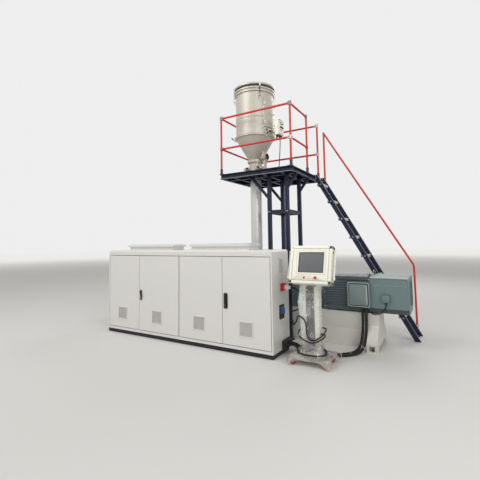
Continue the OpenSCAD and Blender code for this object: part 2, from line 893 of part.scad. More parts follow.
blower_r = 95;
module cooling_blowers() {
    color(motor_blue)
        for (i = [0 : zones - 1])
            translate([zone_x(i) + zone_l / 2, 0, 0]) {
                translate([0, 60, bed_h + blower_r + 30])
                    rotate([90, 0, 0])
                        cylinder(r = blower_r, h = 120);
                block([-60, -50, bed_h], [120, 100, 60]);
                difference() {
                    block([-40, -50, bed_h + blower_r + 30], [80, 100, 230]);
                    translate([-100, 0, screw_h])
                        rotate([0, 90, 0])
                            cylinder(r = zone_r + seat, h = 200);
                }
            }
}

module tower_columns() {
    color(navy)
        for (sx = [-1, 1], sy = [-1, 1])
            translate([tower_x + sx * col_dx / 2, sy * col_half, 0]) {
                block([-col_w / 2, -col_w / 2, 0], [col_w, col_w, frame_low]);
                block([-70, sy > 0 ? -col_w / 2 : -80 - col_w / 2 + 10, 0], [140, 130, 12]);
            }
}

// The tower's middle beams, and the knee braces from its columns to the deck's frame
module tower_beams() {
    gap_x = col_dx - col_w;
    gap_y = 2 * col_half - col_w;
    color(navy) {
        for (sy = [-1, 1])
            block([tower_x - gap_x / 2, sy * col_half - 25, beam_z], [gap_x, 50, 60]);
        for (sx = [-1, 1])
            block([tower_x + sx * col_dx / 2 - 25, -gap_y / 2, beam_z], [50, gap_y, 60]);
        for (sx = [-1, 1], sy = [-1, 1])
            brace(sx, sy);
    }
}

brace_w = 40;
brace_band = 60;
module brace(sx, sy) {
    x = tower_x + sx * (col_dx / 2 + col_w / 2);
    run = sx < 0 ? brace_run_left : brace_run_right;
    translate([x, sy * col_half + brace_w / 2, frame_low])
        mirror([sx < 0 ? 1 : 0, 0, 0])
            rotate([90, 0, 0])
                linear_extrude(brace_w)
                    polygon([[0, -run], [run - brace_band, 0], [run, 0], [0, -run - brace_band]]);
}

channel_t = 7;
// One edge channel of the deck, open to the outside, in its own frame along X
module channel(l) {
    rotate([90, 0, 90])
        linear_extrude(l)
            polygon([[0, 0], [edge_w, 0], [edge_w, edge_h], [0, edge_h], [0, edge_h - channel_t],
                [edge_w - channel_t, edge_h - channel_t], [edge_w - channel_t, channel_t],
                [0, channel_t]]);
}

module deck_frame() {
    inner_y = deck_y1 - deck_y0 - 2 * edge_w;
    inner_x = deck_l - 2 * edge_w;
    joist_x = [for (s = [-1, 1]) tower_x + s * col_dx / 2 - edge_w / 2];
    color(navy) {
        translate([deck_x0, deck_y0, frame_low])
            channel(deck_l);
        translate([deck_x1, deck_y1, frame_low])
            rotate([0, 0, 180])
                channel(deck_l);
        translate([deck_x0, deck_y1 - edge_w, frame_low])
            rotate([0, 0, -90])
                channel(inner_y);
        translate([deck_x1, deck_y0 + edge_w, frame_low])
            rotate([0, 0, 90])
                channel(inner_y);
        for (x = concat(joist_x, [-180, 180]))
            block([x, deck_y0 + edge_w - 1, frame_low], [edge_w, inner_y + 2, edge_h]);
        for (sy = [-1, 1])
            block([deck_x0 + edge_w - 1, sy * col_half - edge_w / 2, frame_low],
                [inner_x + 2, edge_w, edge_h]);
    }
}

module deck_plate() {
    color(navy)
        difference() {
            block([deck_x0, deck_y0, frame_top], [deck_l, deck_y1 - deck_y0, plate_t]);
            translate([0, 0, frame_top - 1])
                cylinder(r = feed_r + 20, h = plate_t + 2);
        }
}

post_spots = [
    [deck_x0 + post_in, deck_y0 + post_in],
    [deck_x1 - post_in, deck_y0 + post_in],
    [deck_x1 - post_in, side_post],
    [deck_x1 - post_in, deck_y1 - post_in],
    [deck_x0 + post_in, deck_y1 - post_in]
];
fit_r = tube_r + 5;
fit_l = 58;
stub_l = fit_l - 12;
// The directions in which the rails leave each post
post_turns = [[0, 90], [180, 90], [-90], [180], [0, -90]];
// The guard posts, each in its bolted socket, with the pipe fittings that the rails plug into
module guard_posts() {
    color(red)
        for (i = [0 : len(post_spots) - 1])
            translate([post_spots[i][0], post_spots[i][1], deck_h]) {
                cylinder(r = tube_r, h = rail_h);
                cylinder(r = tube_r + 5, h = 90);
                cylinder(r = tube_r + 7, h = 14);
                translate([0, 0, 78])
                    cylinder(r = tube_r + 8, h = 12);
                for (z = [mid_h, rail_h])
                    translate([0, 0, z - fit_l / 2])
                        cylinder(r = fit_r, h = fit_l);
                for (a = post_turns[i], z = [mid_h, rail_h])
                    translate([0, 0, z])
                        rotate([0, 90, a])
                            cylinder(r = fit_r, h = stub_l);
            }
}

// Two rails between two posts, from fitting to fitting
module rail_between(a, b) {
    u = unit([b[0] - a[0], b[1] - a[1], 0]);
    for (z = [deck_h + mid_h, deck_h + rail_h])
        rod([a[0], a[1], z] + stub_l * u, [b[0], b[1], z] - stub_l * u, tube_r);
}

module guard_rails() {
    color(red) {
        rail_between(post_spots[0], post_spots[1]);
        rail_between(post_spots[1], post_spots[2]);
        rail_between(post_spots[3], post_spots[4]);
        rail_between(post_spots[4], post_spots[0]);
    }
}

module stair_stringers() {
    low_z = (stair_foot - stringer_run - deck_x1) * stair_slope;
    color(navy)
        for (y = [stair_y, stair_y + stair_w - stringer_t])
            translate([0, y + stringer_t, 0])
                rotate([90, 0, 0])
                    linear_extrude(stringer_t)
                        polygon([[stair_foot, 0], [stair_top_x, deck_h], [deck_x1, deck_h],
                            [deck_x1, low_z], [stair_foot - stringer_run, 0]]);
}

function stair_x(z) = stair_top_x + (deck_h - z) / stair_slope;
tread_lip = 45;
tread_sheet = 4;
// Each tread is a folded plate, with a lip that hangs at its front and back
module stair_treads() {
    color("#8f9094")
        for (i = [0 : tread_n - 1]) {
            z = deck_h - tread_drop - i * tread_rise;
            translate([stair_x(z) - tread_d - tread_back, stair_y + stair_w - stringer_t, z])
                rotate([90, 0, 0])
                    linear_extrude(stair_w - 2 * stringer_t)
                        polygon([[0, 0], [0, -tread_lip], [tread_sheet, -tread_lip],
                            [tread_sheet, -tread_sheet], [tread_d - tread_sheet, -tread_sheet],
                            [tread_d - tread_sheet, -tread_lip], [tread_d, -tread_lip], [tread_d, 0]]);
        }
}

hand_y = stair_y + stair_w - stringer_t / 2;
hand_x = deck_x1 + 80;
hand_end_x = stair_foot - 75;
hand_top = deck_h + 860;
hand_low = 1120;
hand_bend = 160;
// The handrail: a post at the deck, and a sloping tube that bends down to the stair's foot
module stair_handrail() {
    turn = atan((hand_end_x - hand_x) / (hand_top - hand_low));
    u = [sin(turn), 0, -cos(turn)];
    t = hand_bend * tan(turn / 2);
    c = [hand_end_x, hand_y, hand_low];
    start = c - t * u;
    color(red)
        difference() {
            union() {
                translate([hand_x, hand_y, deck_h - 200])
                    cylinder(r = tube_r, h = hand_top - deck_h + 215);
                difference() {
                    rod([hand_x, hand_y, hand_top], start, tube_r - 1);
                    translate([hand_x, hand_y, deck_h])
                        cylinder(r = tube_r + seat, h = 2 * (hand_top - deck_h));
                }
                translate([start[0] - hand_bend * cos(turn), hand_y, start[2] - hand_bend * sin(turn)])
                    rotate([90, 0, 0])
                        rotate_extrude(angle = turn)
                            translate([hand_bend, 0])
                                circle(r = tube_r - 1);
                translate([hand_end_x, hand_y, 100])
                    cylinder(r = tube_r - 1, h = hand_low - t - 100);
            }
            translate([0, hand_y + 50, 0])
                rotate([90, 0, 0])
                    linear_extrude(100)
                        polygon([[stair_foot, 0], [stair_top_x, deck_h], [deck_x1, deck_h],
                            [deck_x1, deck_h - 300], [stair_foot - 200, 0]]);
        }
}

module feed_pipe() {
    z0 = screw_h + 160;
    color(steel)
        translate([0, 0, z0])
            difference() {
                union() {
                    cylinder(r = feed_r, h = deck_h - z0);
                    cylinder(r = 138, h = 14);
                }
                translate([0, 0, -1])
                    cylinder(r = feed_r - feed_wall, h = deck_h - z0 + 2);
            }
}

gate_w = 220;
gate_l = 340;
gate_t = 44;
gate_z = deck_h + gate_h / 2 - 12;
// The slide gate between two flanges, over a ribbed base ring that is bolted to the deck
module slide_gate() {
    flange_r = cone_low_r + cone_flange;
    color(cream)
        difference() {
            union() {
                translate([0, 0, deck_h])
                    cylinder(r = 190, h = 16);
                translate([0, 0, deck_h + 15])
                    cylinder(r = feed_r + 15, h = cone_low - deck_h - 35);
                for (k = [0 : 7])
                    rotate([0, 0, 22.5 + 45 * k])
                        block([feed_r + 10, -5, deck_h + 15], [55, 10, 60]);
                translate([0, 0, cone_low - 21])
                    cylinder(r = flange_r, h = 21);
                block([-gate_l / 2, -gate_w / 2, gate_z], [gate_l, gate_w, gate_t]);
                block([-gate_l / 2 - 26, -gate_w / 2 + 20, gate_z + 12], [27, gate_w - 40, gate_t - 24]);
            }
            translate([0, 0, deck_h - 1])
                cylinder(r = feed_r - feed_wall, h = cone_low - deck_h + 2);
        }
}

cone_wall = 6;
cone_flange = 20;
cone_joint_h = 30;
neck_h = 34;
// The cone with its lower flange, its short neck and the lower half of the joint ring
module hopper_cone() {
    r = hop_r - cone_wall;
    color(cream)
        rotate_extrude($fn = 64)
            polygon([[cone_low_r - cone_wall, cone_low], [cone_low_r + cone_flange, cone_low],
                [cone_low_r + cone_flange, cone_low + 18], [cone_low_r, cone_low + 18],
                [cone_low_r, cone_low + neck_h],
                [r, hop_joint - cone_joint_h],
                [hop_r + 20, hop_joint - cone_joint_h + 12], [hop_r + 20, hop_joint],
                [r - cone_wall - 2, hop_joint], [r - cone_wall - 2, hop_joint - cone_joint_h],
                [cone_low_r - cone_wall, cone_low + neck_h + 4]]);
}

hop_seam = hop_joint + 315;
// The body: upper half of the joint ring, a swaged seam, two ribs and the flange under the lid
module hopper_body() {
    in = hop_r - hop_wall;
    rib = hop_r + 20;
    color(cream) {
        rotate_extrude($fn = 64)
            polygon([[in, hop_joint], [hop_r + 20, hop_joint], [hop_r + 20, hop_joint + 16],
                [hop_r, hop_joint + 22], [hop_r, hop_seam - 8], [hop_r + 5, hop_seam], [hop_r, hop_seam + 8],
                [hop_r, hop_top - 150], [rib, hop_top - 142], [rib, hop_top - 118],
                [hop_r + 8, hop_top - 112], [hop_r + 8, hop_top - 100], [rib + 8, hop_top - 94],
                [rib + 8, hop_top - 70],
                [hop_r + 12, hop_top - 66], [hop_r + 12, hop_top - 30], [in, hop_top - 30]]);
        hopper_door();
    }
}

door_low = hop_joint + 130;
door_high = hop_joint + 650;
door_out = 12;
// The clean-out door: a raised curved panel on the body's side, with its two hinges
module hopper_door() {
    intersection() {
        difference() {
            translate([0, 0, door_low])
                cylinder(r = hop_r + door_out, h = door_high - door_low);
            translate([0, 0, door_low - 1])
                cylinder(r = hop_r - 4, h = door_high - door_low + 2);
        }
        rotate([0, 0, -6])
            block([0, -170, door_low], [2 * hop_r, 340, door_high - door_low]);
    }
    for (z = [door_low + 90, door_high - 90])
        rotate([0, 0, -6])
            translate([sqrt((hop_r + door_out) * (hop_r + door_out) - 170 * 170), -178, z - 40])
                cylinder(r = 9, h = 80);
}

lid_rim = 26;
// The lid: a flat flange with a low dished crown and a lifting eye
module hopper_lid() {
    color(cream) {
        rotate_extrude($fn = 64)
            polygon([[0, hop_top - 30], [hop_r + 12, hop_top - 30], [hop_r + 12, hop_top - lid_rim],
                [hop_rim_r, hop_top - lid_rim], [hop_rim_r, hop_top], [hop_rim_r - 14, hop_top + 4],
                [hop_rim_r - 60, hop_top + 8], [140, hop_top + 40], [0, hop_top + 45]]);
        translate([0, 0, hop_top + 30])
            cylinder(r = 26, h = 24);
    }
}

latch_w = 34;
latch_turns = [-47, 43, 133, 223];
joint_turns = [-152, -30, 90];
// Toggle latches: four long ones that hook over the lid, and three levers round the joint ring
module hopper_latches() {
    color(steel) {
        for (a = latch_turns)
            rotate([0, 0, a])
                difference() {
                    union() {
                        block([hop_r - 10, -latch_w / 2, hop_top - 300], [24, latch_w, 120]);
                        block([hop_r + 30, -10, hop_top - 290], [12, 20, 240]);
                        block([hop_r + 13, -latch_w / 2, hop_top - 250], [30, latch_w, 40]);
                        block([hop_rim_r + seat, -13, hop_top - 70], [14, 26, 84]);
                        block([hop_rim_r - 14, -13, hop_top + 4 + seat], [28, 26, 10 - seat]);
                        block([hop_r + 30, -10, hop_top - 66], [hop_rim_r - hop_r - 17, 20, 14]);
                    }
                    cylinder(r = hop_r + seat, h = hop_top - 145);
                }
        for (a = joint_turns)
            rotate([0, 0, a])
                translate([hop_r + 20 + seat, 0, hop_joint]) {
                    block([0, -latch_w / 2, -46], [16, latch_w, 84]);
                    rod([10, 0, -30], [66, 0, 26], 8);
                    translate([66, 0, 26])
                        sphere(r = 14, $fn = 24);
                }
    }
}

fan_turn = -12;
fan_z = cone_low + 57;
fan_r = 78;
fan_x0 = 200;
fan_w = 55;
fan_inlet_r = 58;
duct_r = 36;
fan_cable = [230, -28, fan_z - fan_r - 14];
// The dryer's blower on the cone's neck, its open inlet with the hub, and the leg that it stands on
module dryer_blower() {
    color(cream) {
        rotate([0, 0, fan_turn]) {
            difference() {
                union() {
                    translate([100, 0, fan_z])
                        rotate([0, 90, 0]) {
                            cylinder(r = duct_r, h = fan_x0 - 99);
                            translate([0, 0, fan_x0 - 100])
                                cylinder(r = fan_r, h = fan_w);
                            translate([0, 0, fan_x0 + fan_w - 101])
                                cylinder(r = fan_inlet_r, h = 16);
                        }
                    block([fan_x0 + 26, -fan_r, fan_z], [26, 60, fan_r + 8]);
                }
                cylinder(r = cone_low_r + seat, h = cone_low + neck_h);
                translate([0, 0, cone_low + neck_h])
                    cylinder(r1 = cone_low_r + 2 * seat, r2 = hop_r - cone_wall + 2 * seat,
                        h = cone_h - cone_joint_h - neck_h);
                translate([fan_x0 + 16, 0, fan_z])
                    rotate([0, 90, 0])
                        cylinder(r = fan_inlet_r - 10, h = 80);
            }
            translate([fan_x0 + 10, 0, fan_z])
                rotate([0, 90, 0])
                    cylinder(r1 = 24, r2 = 14, h = 42);
            block([fan_x0 + 26, -45, deck_h + 13], [26, 45, fan_z - fan_r + 20 - deck_h]);
            block([fan_x0 + 24, -62, deck_h], [56, 74, 14]);
        }
        translate(fan_cable)
            cylinder(r = 10, h = 30);
    }
}

ctl_x = hop_r + 95;
ctl_w = 92;
ctl_d = 190;
ctl_z = hop_joint - 20;
ctl_h = 260;
// The dryer's control box on its bracket, with a raised door towards the stair
module dryer_control_box() {
    color(panel_cream) {
        block([ctl_x, -ctl_d / 2, ctl_z], [ctl_w - 14, ctl_d, ctl_h]);
        block([ctl_x + ctl_w - 15, -ctl_d / 2 + 6, ctl_z + 6], [15, ctl_d - 12, ctl_h - 12]);
        difference() {
            block([hop_r - 30, -40, ctl_z + 70], [ctl_x - hop_r + 31, 80, 60]);
            cylinder(r = hop_r + seat, h = hop_top);
        }
    }
}

base_z = 75;
px0 = panel_x - base_w / 2;
py0 = -panel_y - base_d / 2;
module panel_base() {
    color(panel_cream)
        block([px0, py0, base_z], [base_w, base_d, 45]);
}

fork_t = 5;
fork_gap = 12;
module panel_castors() {
    color(red)
        for (sx = [-1, 1], sy = [-1, 1])
            translate([panel_x + sx * (base_w / 2 - 45), -panel_y + sy * (base_d / 2 - 45), 0]) {
                translate([0, fork_gap, wheel_r])
                    rotate([90, 0, 0])
                        cylinder(r = wheel_r, h = 2 * fork_gap);
                for (y = [-fork_gap - fork_t, fork_gap])
                    block([-16, y, wheel_r - 10], [32, fork_t, base_z - wheel_r + 10]);
                translate([0, 0, base_z - 8])
                    cylinder(r = 26, h = 8);
            }
}

column_side = 62;
column_in = 14;
// The column: two deep side posts and a panel between them that is set back a little
module panel_column() {
    z0 = base_z + 45;
    x0 = panel_x - column_w / 2;
    y0 = -panel_y - column_d / 2;
    color(panel_cream) {
        for (x = [x0, panel_x + column_w / 2 - column_side])
            translate([x, y0, z0])
                linear_extrude(column_top - z0)
                    rounded_plan(column_side, column_d, 10);
        block([x0 + column_side - 1, y0 + column_in, z0],
            [column_w - 2 * column_side + 2, column_d - 2 * column_in, column_top - z0]);
        translate([x0 - 20, y0 - 20, z0])
            linear_extrude(10)
                rounded_plan(column_w + 40, column_d + 40, 14);
    }
}

module rounded_plan(w, d, r) {
    hull()
        for (x = [r, w - r], y = [r, d - r])
            translate([x, y])
                circle(r = r, $fn = 32);
}

swivel_h = 50;
module panel_swivel() {
    color(black) {
        translate([panel_x, -panel_y, column_top])
            cylinder(r = column_d / 2, h = swivel_h);
    }
}

box_at = [panel_x + box_shift, -panel_y - 110, box_z];
neck_z = column_top + swivel_h + seat;
module in_box() {
    translate(box_at)
        rotate([-box_tilt, 0, 0])
            children();
}
bar_w = 40;
// The panel box: a folded housing, a raised bezel with a window, four profile bars and the neck
module panel_box() {
    f = -box_d / 2;
    color(panel_cream) {
        in_box() {
            difference() {
                block([-box_w / 2 + bar_w, f + 12, -box_h / 2 + bar_w],
                    [box_w - 2 * bar_w, box_d - 12, box_h - 2 * bar_w]);
                screen_window(screen_w, screen_h, f + 11, 14);
            }
            difference() {
                block([-box_w / 2 + bar_w, f, -box_h / 2 + bar_w],
                    [box_w - 2 * bar_w, 13, box_h - 2 * bar_w]);
                screen_window(screen_w, screen_h, f - 1, 16);
            }
            for (sx = [-1, 1])
                translate([sx * (box_w / 2 - bar_w / 2), 0, 0])
                    profile_bar(box_h - 2 * bar_w);
            for (sz = [-1, 1])
                translate([0, 0, sz * (box_h / 2 - bar_w / 2)])
                    rotate([0, 90, 0])
                        profile_bar(box_w - 2 * bar_w);
            for (sx = [-1, 1], sz = [-1, 1])
                translate([sx * (box_w / 2 - bar_w / 2), 0, sz * (box_h / 2 - bar_w / 2)])
                    block([-bar_w / 2, f + 14, -bar_w / 2], [bar_w, box_d - 30, bar_w]);
        }
        translate([panel_x, -panel_y, neck_z])
            cylinder(r = 60, h = 25);
        block([panel_x - 55, -panel_y - 105, neck_z + 20], [110, 150, 70]);
    }
}

// The outline of the screen's window, from y to y + t
module screen_window(w, h, y, t) {
    block([screen_x - w / 2, y, screen_z - h / 2], [w, t, h]);
}

// A bar of the panel's frame, upright and centred, with a step along its front
module profile_bar(l) {
    f = -box_d / 2;
    block([-bar_w / 2, f + 4, -l / 2], [bar_w, box_d - 18, l]);
    block([-bar_w / 2 + 6, f - 2, -l / 2], [bar_w - 12, 7, l]);
}

screen_x = 8;
screen_z = 26;
screen_w = 326;
screen_h = 259;
screen_clear = 0.5;
module panel_screen() {
    color("#555a5c")
        in_box()
            screen_window(screen_w - 2 * screen_clear, screen_h - 2 * screen_clear, -box_d / 2 + 3, 22);
}

handle_out = 34;
handle_l = 350;
module panel_side_handles() {
    color("#eeeeea")
        in_box()
            for (sx = [-1, 1])
                translate([sx * (box_w / 2 + handle_out - 10), -20, 0]) {
                    translate([0, 0, -handle_l / 2])
                        cylinder(r = 10, h = handle_l);
                    for (z = [-handle_l / 2 + 12, handle_l / 2 - 12])
                        translate([0, 0, z])
                            rotate([0, sx > 0 ? -90 : 90, 0])
                                cylinder(r = 9, h = handle_out - 10);
                }
}

button_z = -168;
// A small lamp button, and a mushroom stop on its collar
module panel_buttons() {
    color(red)
        in_box() {
            translate([-68, -box_d / 2, button_z])
                rotate([90, 0, 0])
                    cylinder(r = 14, h = 10);
            translate([80, -box_d / 2, button_z])
                rotate([90, 0, 0]) {
                    cylinder(r = 15, h = 10);
                    translate([0, 0, 9])
                        cylinder(r = 20, h = 16);
                }
        }
}

// Route points of the cords
plug_route = [
    [cab_right + plug_end, socket_y, socket_z], [1072, socket_y, socket_z], [1100, -997, 898],
    [1130, -984, 880],
    [1158, -955, 845], [1172, -920, 795], [1168, -880, 740], [1146, -838, 685], [1108, -795, 630],
    [1062, -755, 583], [1012, -722, 550], [962, -702, 530], [912, -694, 520], [880, -706, 516],
    [866, -736, 515], [866, cab_y1, 515]
];
column_x1 = panel_x + column_w / 2;
// From the cabinet's back up over an arch, down the column's front and once round the column
panel_route = [
    [866, cab_y1, 420], [866, -738, 420], [880, -708, 418], [912, -697, 408], [948, -715, 388],
    [975, -765, 364], [1000, -830, 362], [1045, -890, 392], [1095, -945, 440], [1140, -1020, 500],
    [1180, -1095, 545], [1215, -1160, 566], [1255, -1212, 576], [1300, -1236, 565],
    [1335, -1240, 530], [1350, -1240, 460], [1352, -1240, 385], [1370, -1240, 330],
    [1410, -1242, 303], [1465, -1244, 312], [1520, -1240, 345], [1555, -1205, 378],
    [1562, -1140, 405], [1550, -1075, 420], [1500, -1050, 425], [1400, -1048, 425],
    [1300, -1050, 415], [1245, -1075, 402], [1222, -1130, 390], [1225, -1195, 368],
    [1255, -1246, 338], [1310, -1264, 308], [1375, -1270, 284], [1440, -1270, 280],
    [1505, -1262, 305], [1560, -1232, 340], [1572, -1185, 362], [1545, -1150, 368],
    [column_x1, -1150, 368]
];
// From the gland box over the base in front of the column's foot
power_route = [
    [cab_right + gland_out, power_y, conduit_z], [1012, power_y, conduit_z], [1044, -1003, 134],
    [1085, -1028, 142],
    [1130, -1065, 140], [1175, -1120, 134], [1210, -1190, 133], [1245, -1255, 133],
    [1305, -1290, 133], [1380, -1298, 133], [1455, -1288, 133], [1525, -1265, 133],
    [1562, -1215, 133], [1572, -1160, 135], [1560, -1120, 148], [1536, -1100, 170],
    [column_x1, -1100, 170]
];
conduit_a = [
    [cab_right + gland_out, conduit_ys[0], conduit_z], [1060, -930, conduit_z], [1120, -918, 95],
    [1180, -888, 42], [1270, -860, 21], [1370, -850, 21], [1480, -838, 21], [1590, -800, 21],
    [1680, -740, 21], [1755, -665, 21], [1812, -580, 24], [1848, -495, 44], [1868, -415, 92],
    [1878, -350, 170], [1883, -305, 280], [1885, -287, 400], [1885, -285, 500],
    [tbox_glands[1], tbox_gland_y, tbox_z]
];
conduit_b = [
    [cab_right + gland_out, conduit_ys[1], conduit_z], [1050, -884, conduit_z], [1106, -872, 98],
    [1164, -842, 45], [1255, -814, 21], [1355, -804, 21], [1462, -792, 21], [1564, -757, 21],
    [1646, -702, 21], [1714, -634, 21], [1767, -555, 26], [1801, -478, 48], [1822, -405, 98],
    [1832, -345, 178], [1837, -303, 290], [1840, -286, 410], [1840, -285, 505],
    [tbox_glands[0], tbox_gland_y, tbox_z]
];
jbox_mid = jbox_x + jbox_w / 2;
junction_route = [
    [jbox_mid, -272, jbox_z], [jbox_mid, -272, 640], [2146, -275, 598], [2122, -279, 556],
    [2085, -283, 522], [2035, -286, 504], [1990, -287, 502], [1956, -286, 516], [1934, -285, 542],
    [1930, -285, 562], [tbox_glands[2], tbox_gland_y, tbox_z]
];
dryer_route = [
    [490, 20, ctl_z], [490, 20, deck_h + 630], [487, 22, deck_h + 540], [480, 26, deck_h + 450],
    [470, 32, deck_h + 340], [456, 42, deck_h + 230], [440, 54, deck_h + 140], [416, 68, deck_h + 70],
    [386, 76, deck_h + 26], [348, 72, deck_h + 9], [304, 52, deck_h + 9], [272, 26, deck_h + 11],
    [248, -4, deck_h + 30], [234, -24, deck_h + 68], [230, -28, deck_h + 120],
    [230, -28, deck_h + 170], fan_cable
];

module plug_cable() { color(black) cord(plug_route, 9, 8); }
module panel_cable() {
    color(black) {
        cord(panel_route, 9, 8);
        cord(power_route, power_r, 8);
    }
}
module floor_conduits() { color(black) for (r = [conduit_a, conduit_b]) cord(r, conduit_r, 10); }
module junction_cable() { color(black) cord(junction_route, 7, 8); }
module dryer_cable() { color(black) cord(dryer_route, 7, 8); }

cabinet_plinth();
cabinet_floor();
cabinet_sides();
cabinet_back();
cabinet_roof();
cabinet_centre_post();
mounting_plates();
door_1();
door_2();
door_3();
door_4();
door_2_handle();
door_4_handle();
roof_vents();
power_socket();
power_plug();
isolator_plate();
isolator_knob();
side_vent();
cable_gland_box();
extruder_bed();
end_foot();
gearbox();
motor_frame();
motor_hood();
terminal_box();
feed_throat();
barrel();
heating_zones();
cooling_blowers();
tower_columns();
tower_beams();
deck_frame();
deck_plate();
guard_posts();
guard_rails();
stair_stringers();
stair_treads();
stair_handrail();
feed_pipe();
slide_gate();
hopper_cone();
hopper_body();
hopper_lid();
hopper_latches();
dryer_blower();
dryer_control_box();
panel_base();
panel_castors();
panel_column();
panel_swivel();
panel_box();
panel_screen();
panel_side_handles();
panel_buttons();
plug_cable();
panel_cable();
floor_conduits();
junction_cable();
dryer_cable();
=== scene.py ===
"""Dresses the plastic extruder: cables, finishes, fastenings, film, light and camera.

Metres. The origin is on the floor under the feed throat; X runs along the screw
towards the motor, Y away from the operator, Z up.
"""

import json
import logging
import math
from collections.abc import Callable, Iterable, Sequence
from dataclasses import dataclass, field
from enum import Enum

import bmesh
import bpy
from mathutils import Matrix, Vector, noise


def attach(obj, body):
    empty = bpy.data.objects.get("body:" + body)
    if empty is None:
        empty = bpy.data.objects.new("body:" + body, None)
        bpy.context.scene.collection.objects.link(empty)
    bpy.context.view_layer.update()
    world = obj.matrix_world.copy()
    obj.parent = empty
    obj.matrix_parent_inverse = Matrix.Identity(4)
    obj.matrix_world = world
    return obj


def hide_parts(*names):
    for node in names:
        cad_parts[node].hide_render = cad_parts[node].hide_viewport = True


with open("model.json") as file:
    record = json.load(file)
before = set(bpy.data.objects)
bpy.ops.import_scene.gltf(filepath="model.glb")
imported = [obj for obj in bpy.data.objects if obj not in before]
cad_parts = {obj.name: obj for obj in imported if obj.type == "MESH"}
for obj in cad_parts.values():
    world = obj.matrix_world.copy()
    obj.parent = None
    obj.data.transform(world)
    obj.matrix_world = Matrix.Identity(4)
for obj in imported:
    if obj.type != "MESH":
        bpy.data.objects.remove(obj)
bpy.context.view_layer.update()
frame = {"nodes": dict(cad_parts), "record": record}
log = logging.getLogger("extruder")

Point = tuple[float, float, float]
Outline = Sequence[tuple[float, float]]


# Shader graphs


class Sock:
    """A shader socket on which arithmetic adds Math nodes."""

    def __init__(self, shader: "Shader", socket: bpy.types.NodeSocket) -> None:
        """Wraps one output socket of a shader's tree."""
        self.shader = shader
        self.socket = socket

    def _math(self, operation: str, *values: "Sock | float", clamp: bool = False) -> "Sock":
        """Adds a Math node; clamp keeps its result between 0 and 1.

        Args:
            operation: The Math node's operation.
            values: Its inputs in order.
            clamp: Whether the result is kept between 0 and 1.

        Returns:
            The node's output.
        """
        settings = {"operation": operation, "use_clamp": clamp}
        return self.shader.node("ShaderNodeMath", settings, dict(enumerate(values)))

    def __add__(self, other: "Sock | float") -> "Sock":
        """Sum."""
        return self._math("ADD", self, other)

    __radd__ = __add__

    def __sub__(self, other: "Sock | float") -> "Sock":
        """Difference."""
        return self._math("SUBTRACT", self, other)

    def __rsub__(self, other: float) -> "Sock":
        """Difference from a number."""
        return self._math("SUBTRACT", other, self)

    def __mul__(self, other: "Sock | float") -> "Sock":
        """Product."""
        return self._math("MULTIPLY", self, other)

    __rmul__ = __mul__

    def __truediv__(self, other: "Sock | float") -> "Sock":
        """Quotient."""
        return self._math("DIVIDE", self, other)

    def clamped(self) -> "Sock":
        """Kept between 0 and 1."""
        return self._math("ADD", self, 0.0, clamp=True)

    def wrapped(self) -> "Sock":
        """The part after the decimal point."""
        return self._math("FRACT", self)

    def size(self) -> "Sock":
        """Without its sign."""
        return self._math("ABSOLUTE", self)

    def above(self, low: float, high: float) -> "Sock":
        """A smooth step from 0 at low to 1 at high.

        Args:
            low: Where the step starts.
            high: Where it ends.

        Returns:
            The step.
        """
        settings = {"interpolation_type": "SMOOTHSTEP"}
        span = {"Value": self, "From Min": low, "From Max": high}
        return self.shader.node("ShaderNodeMapRange", settings, span)


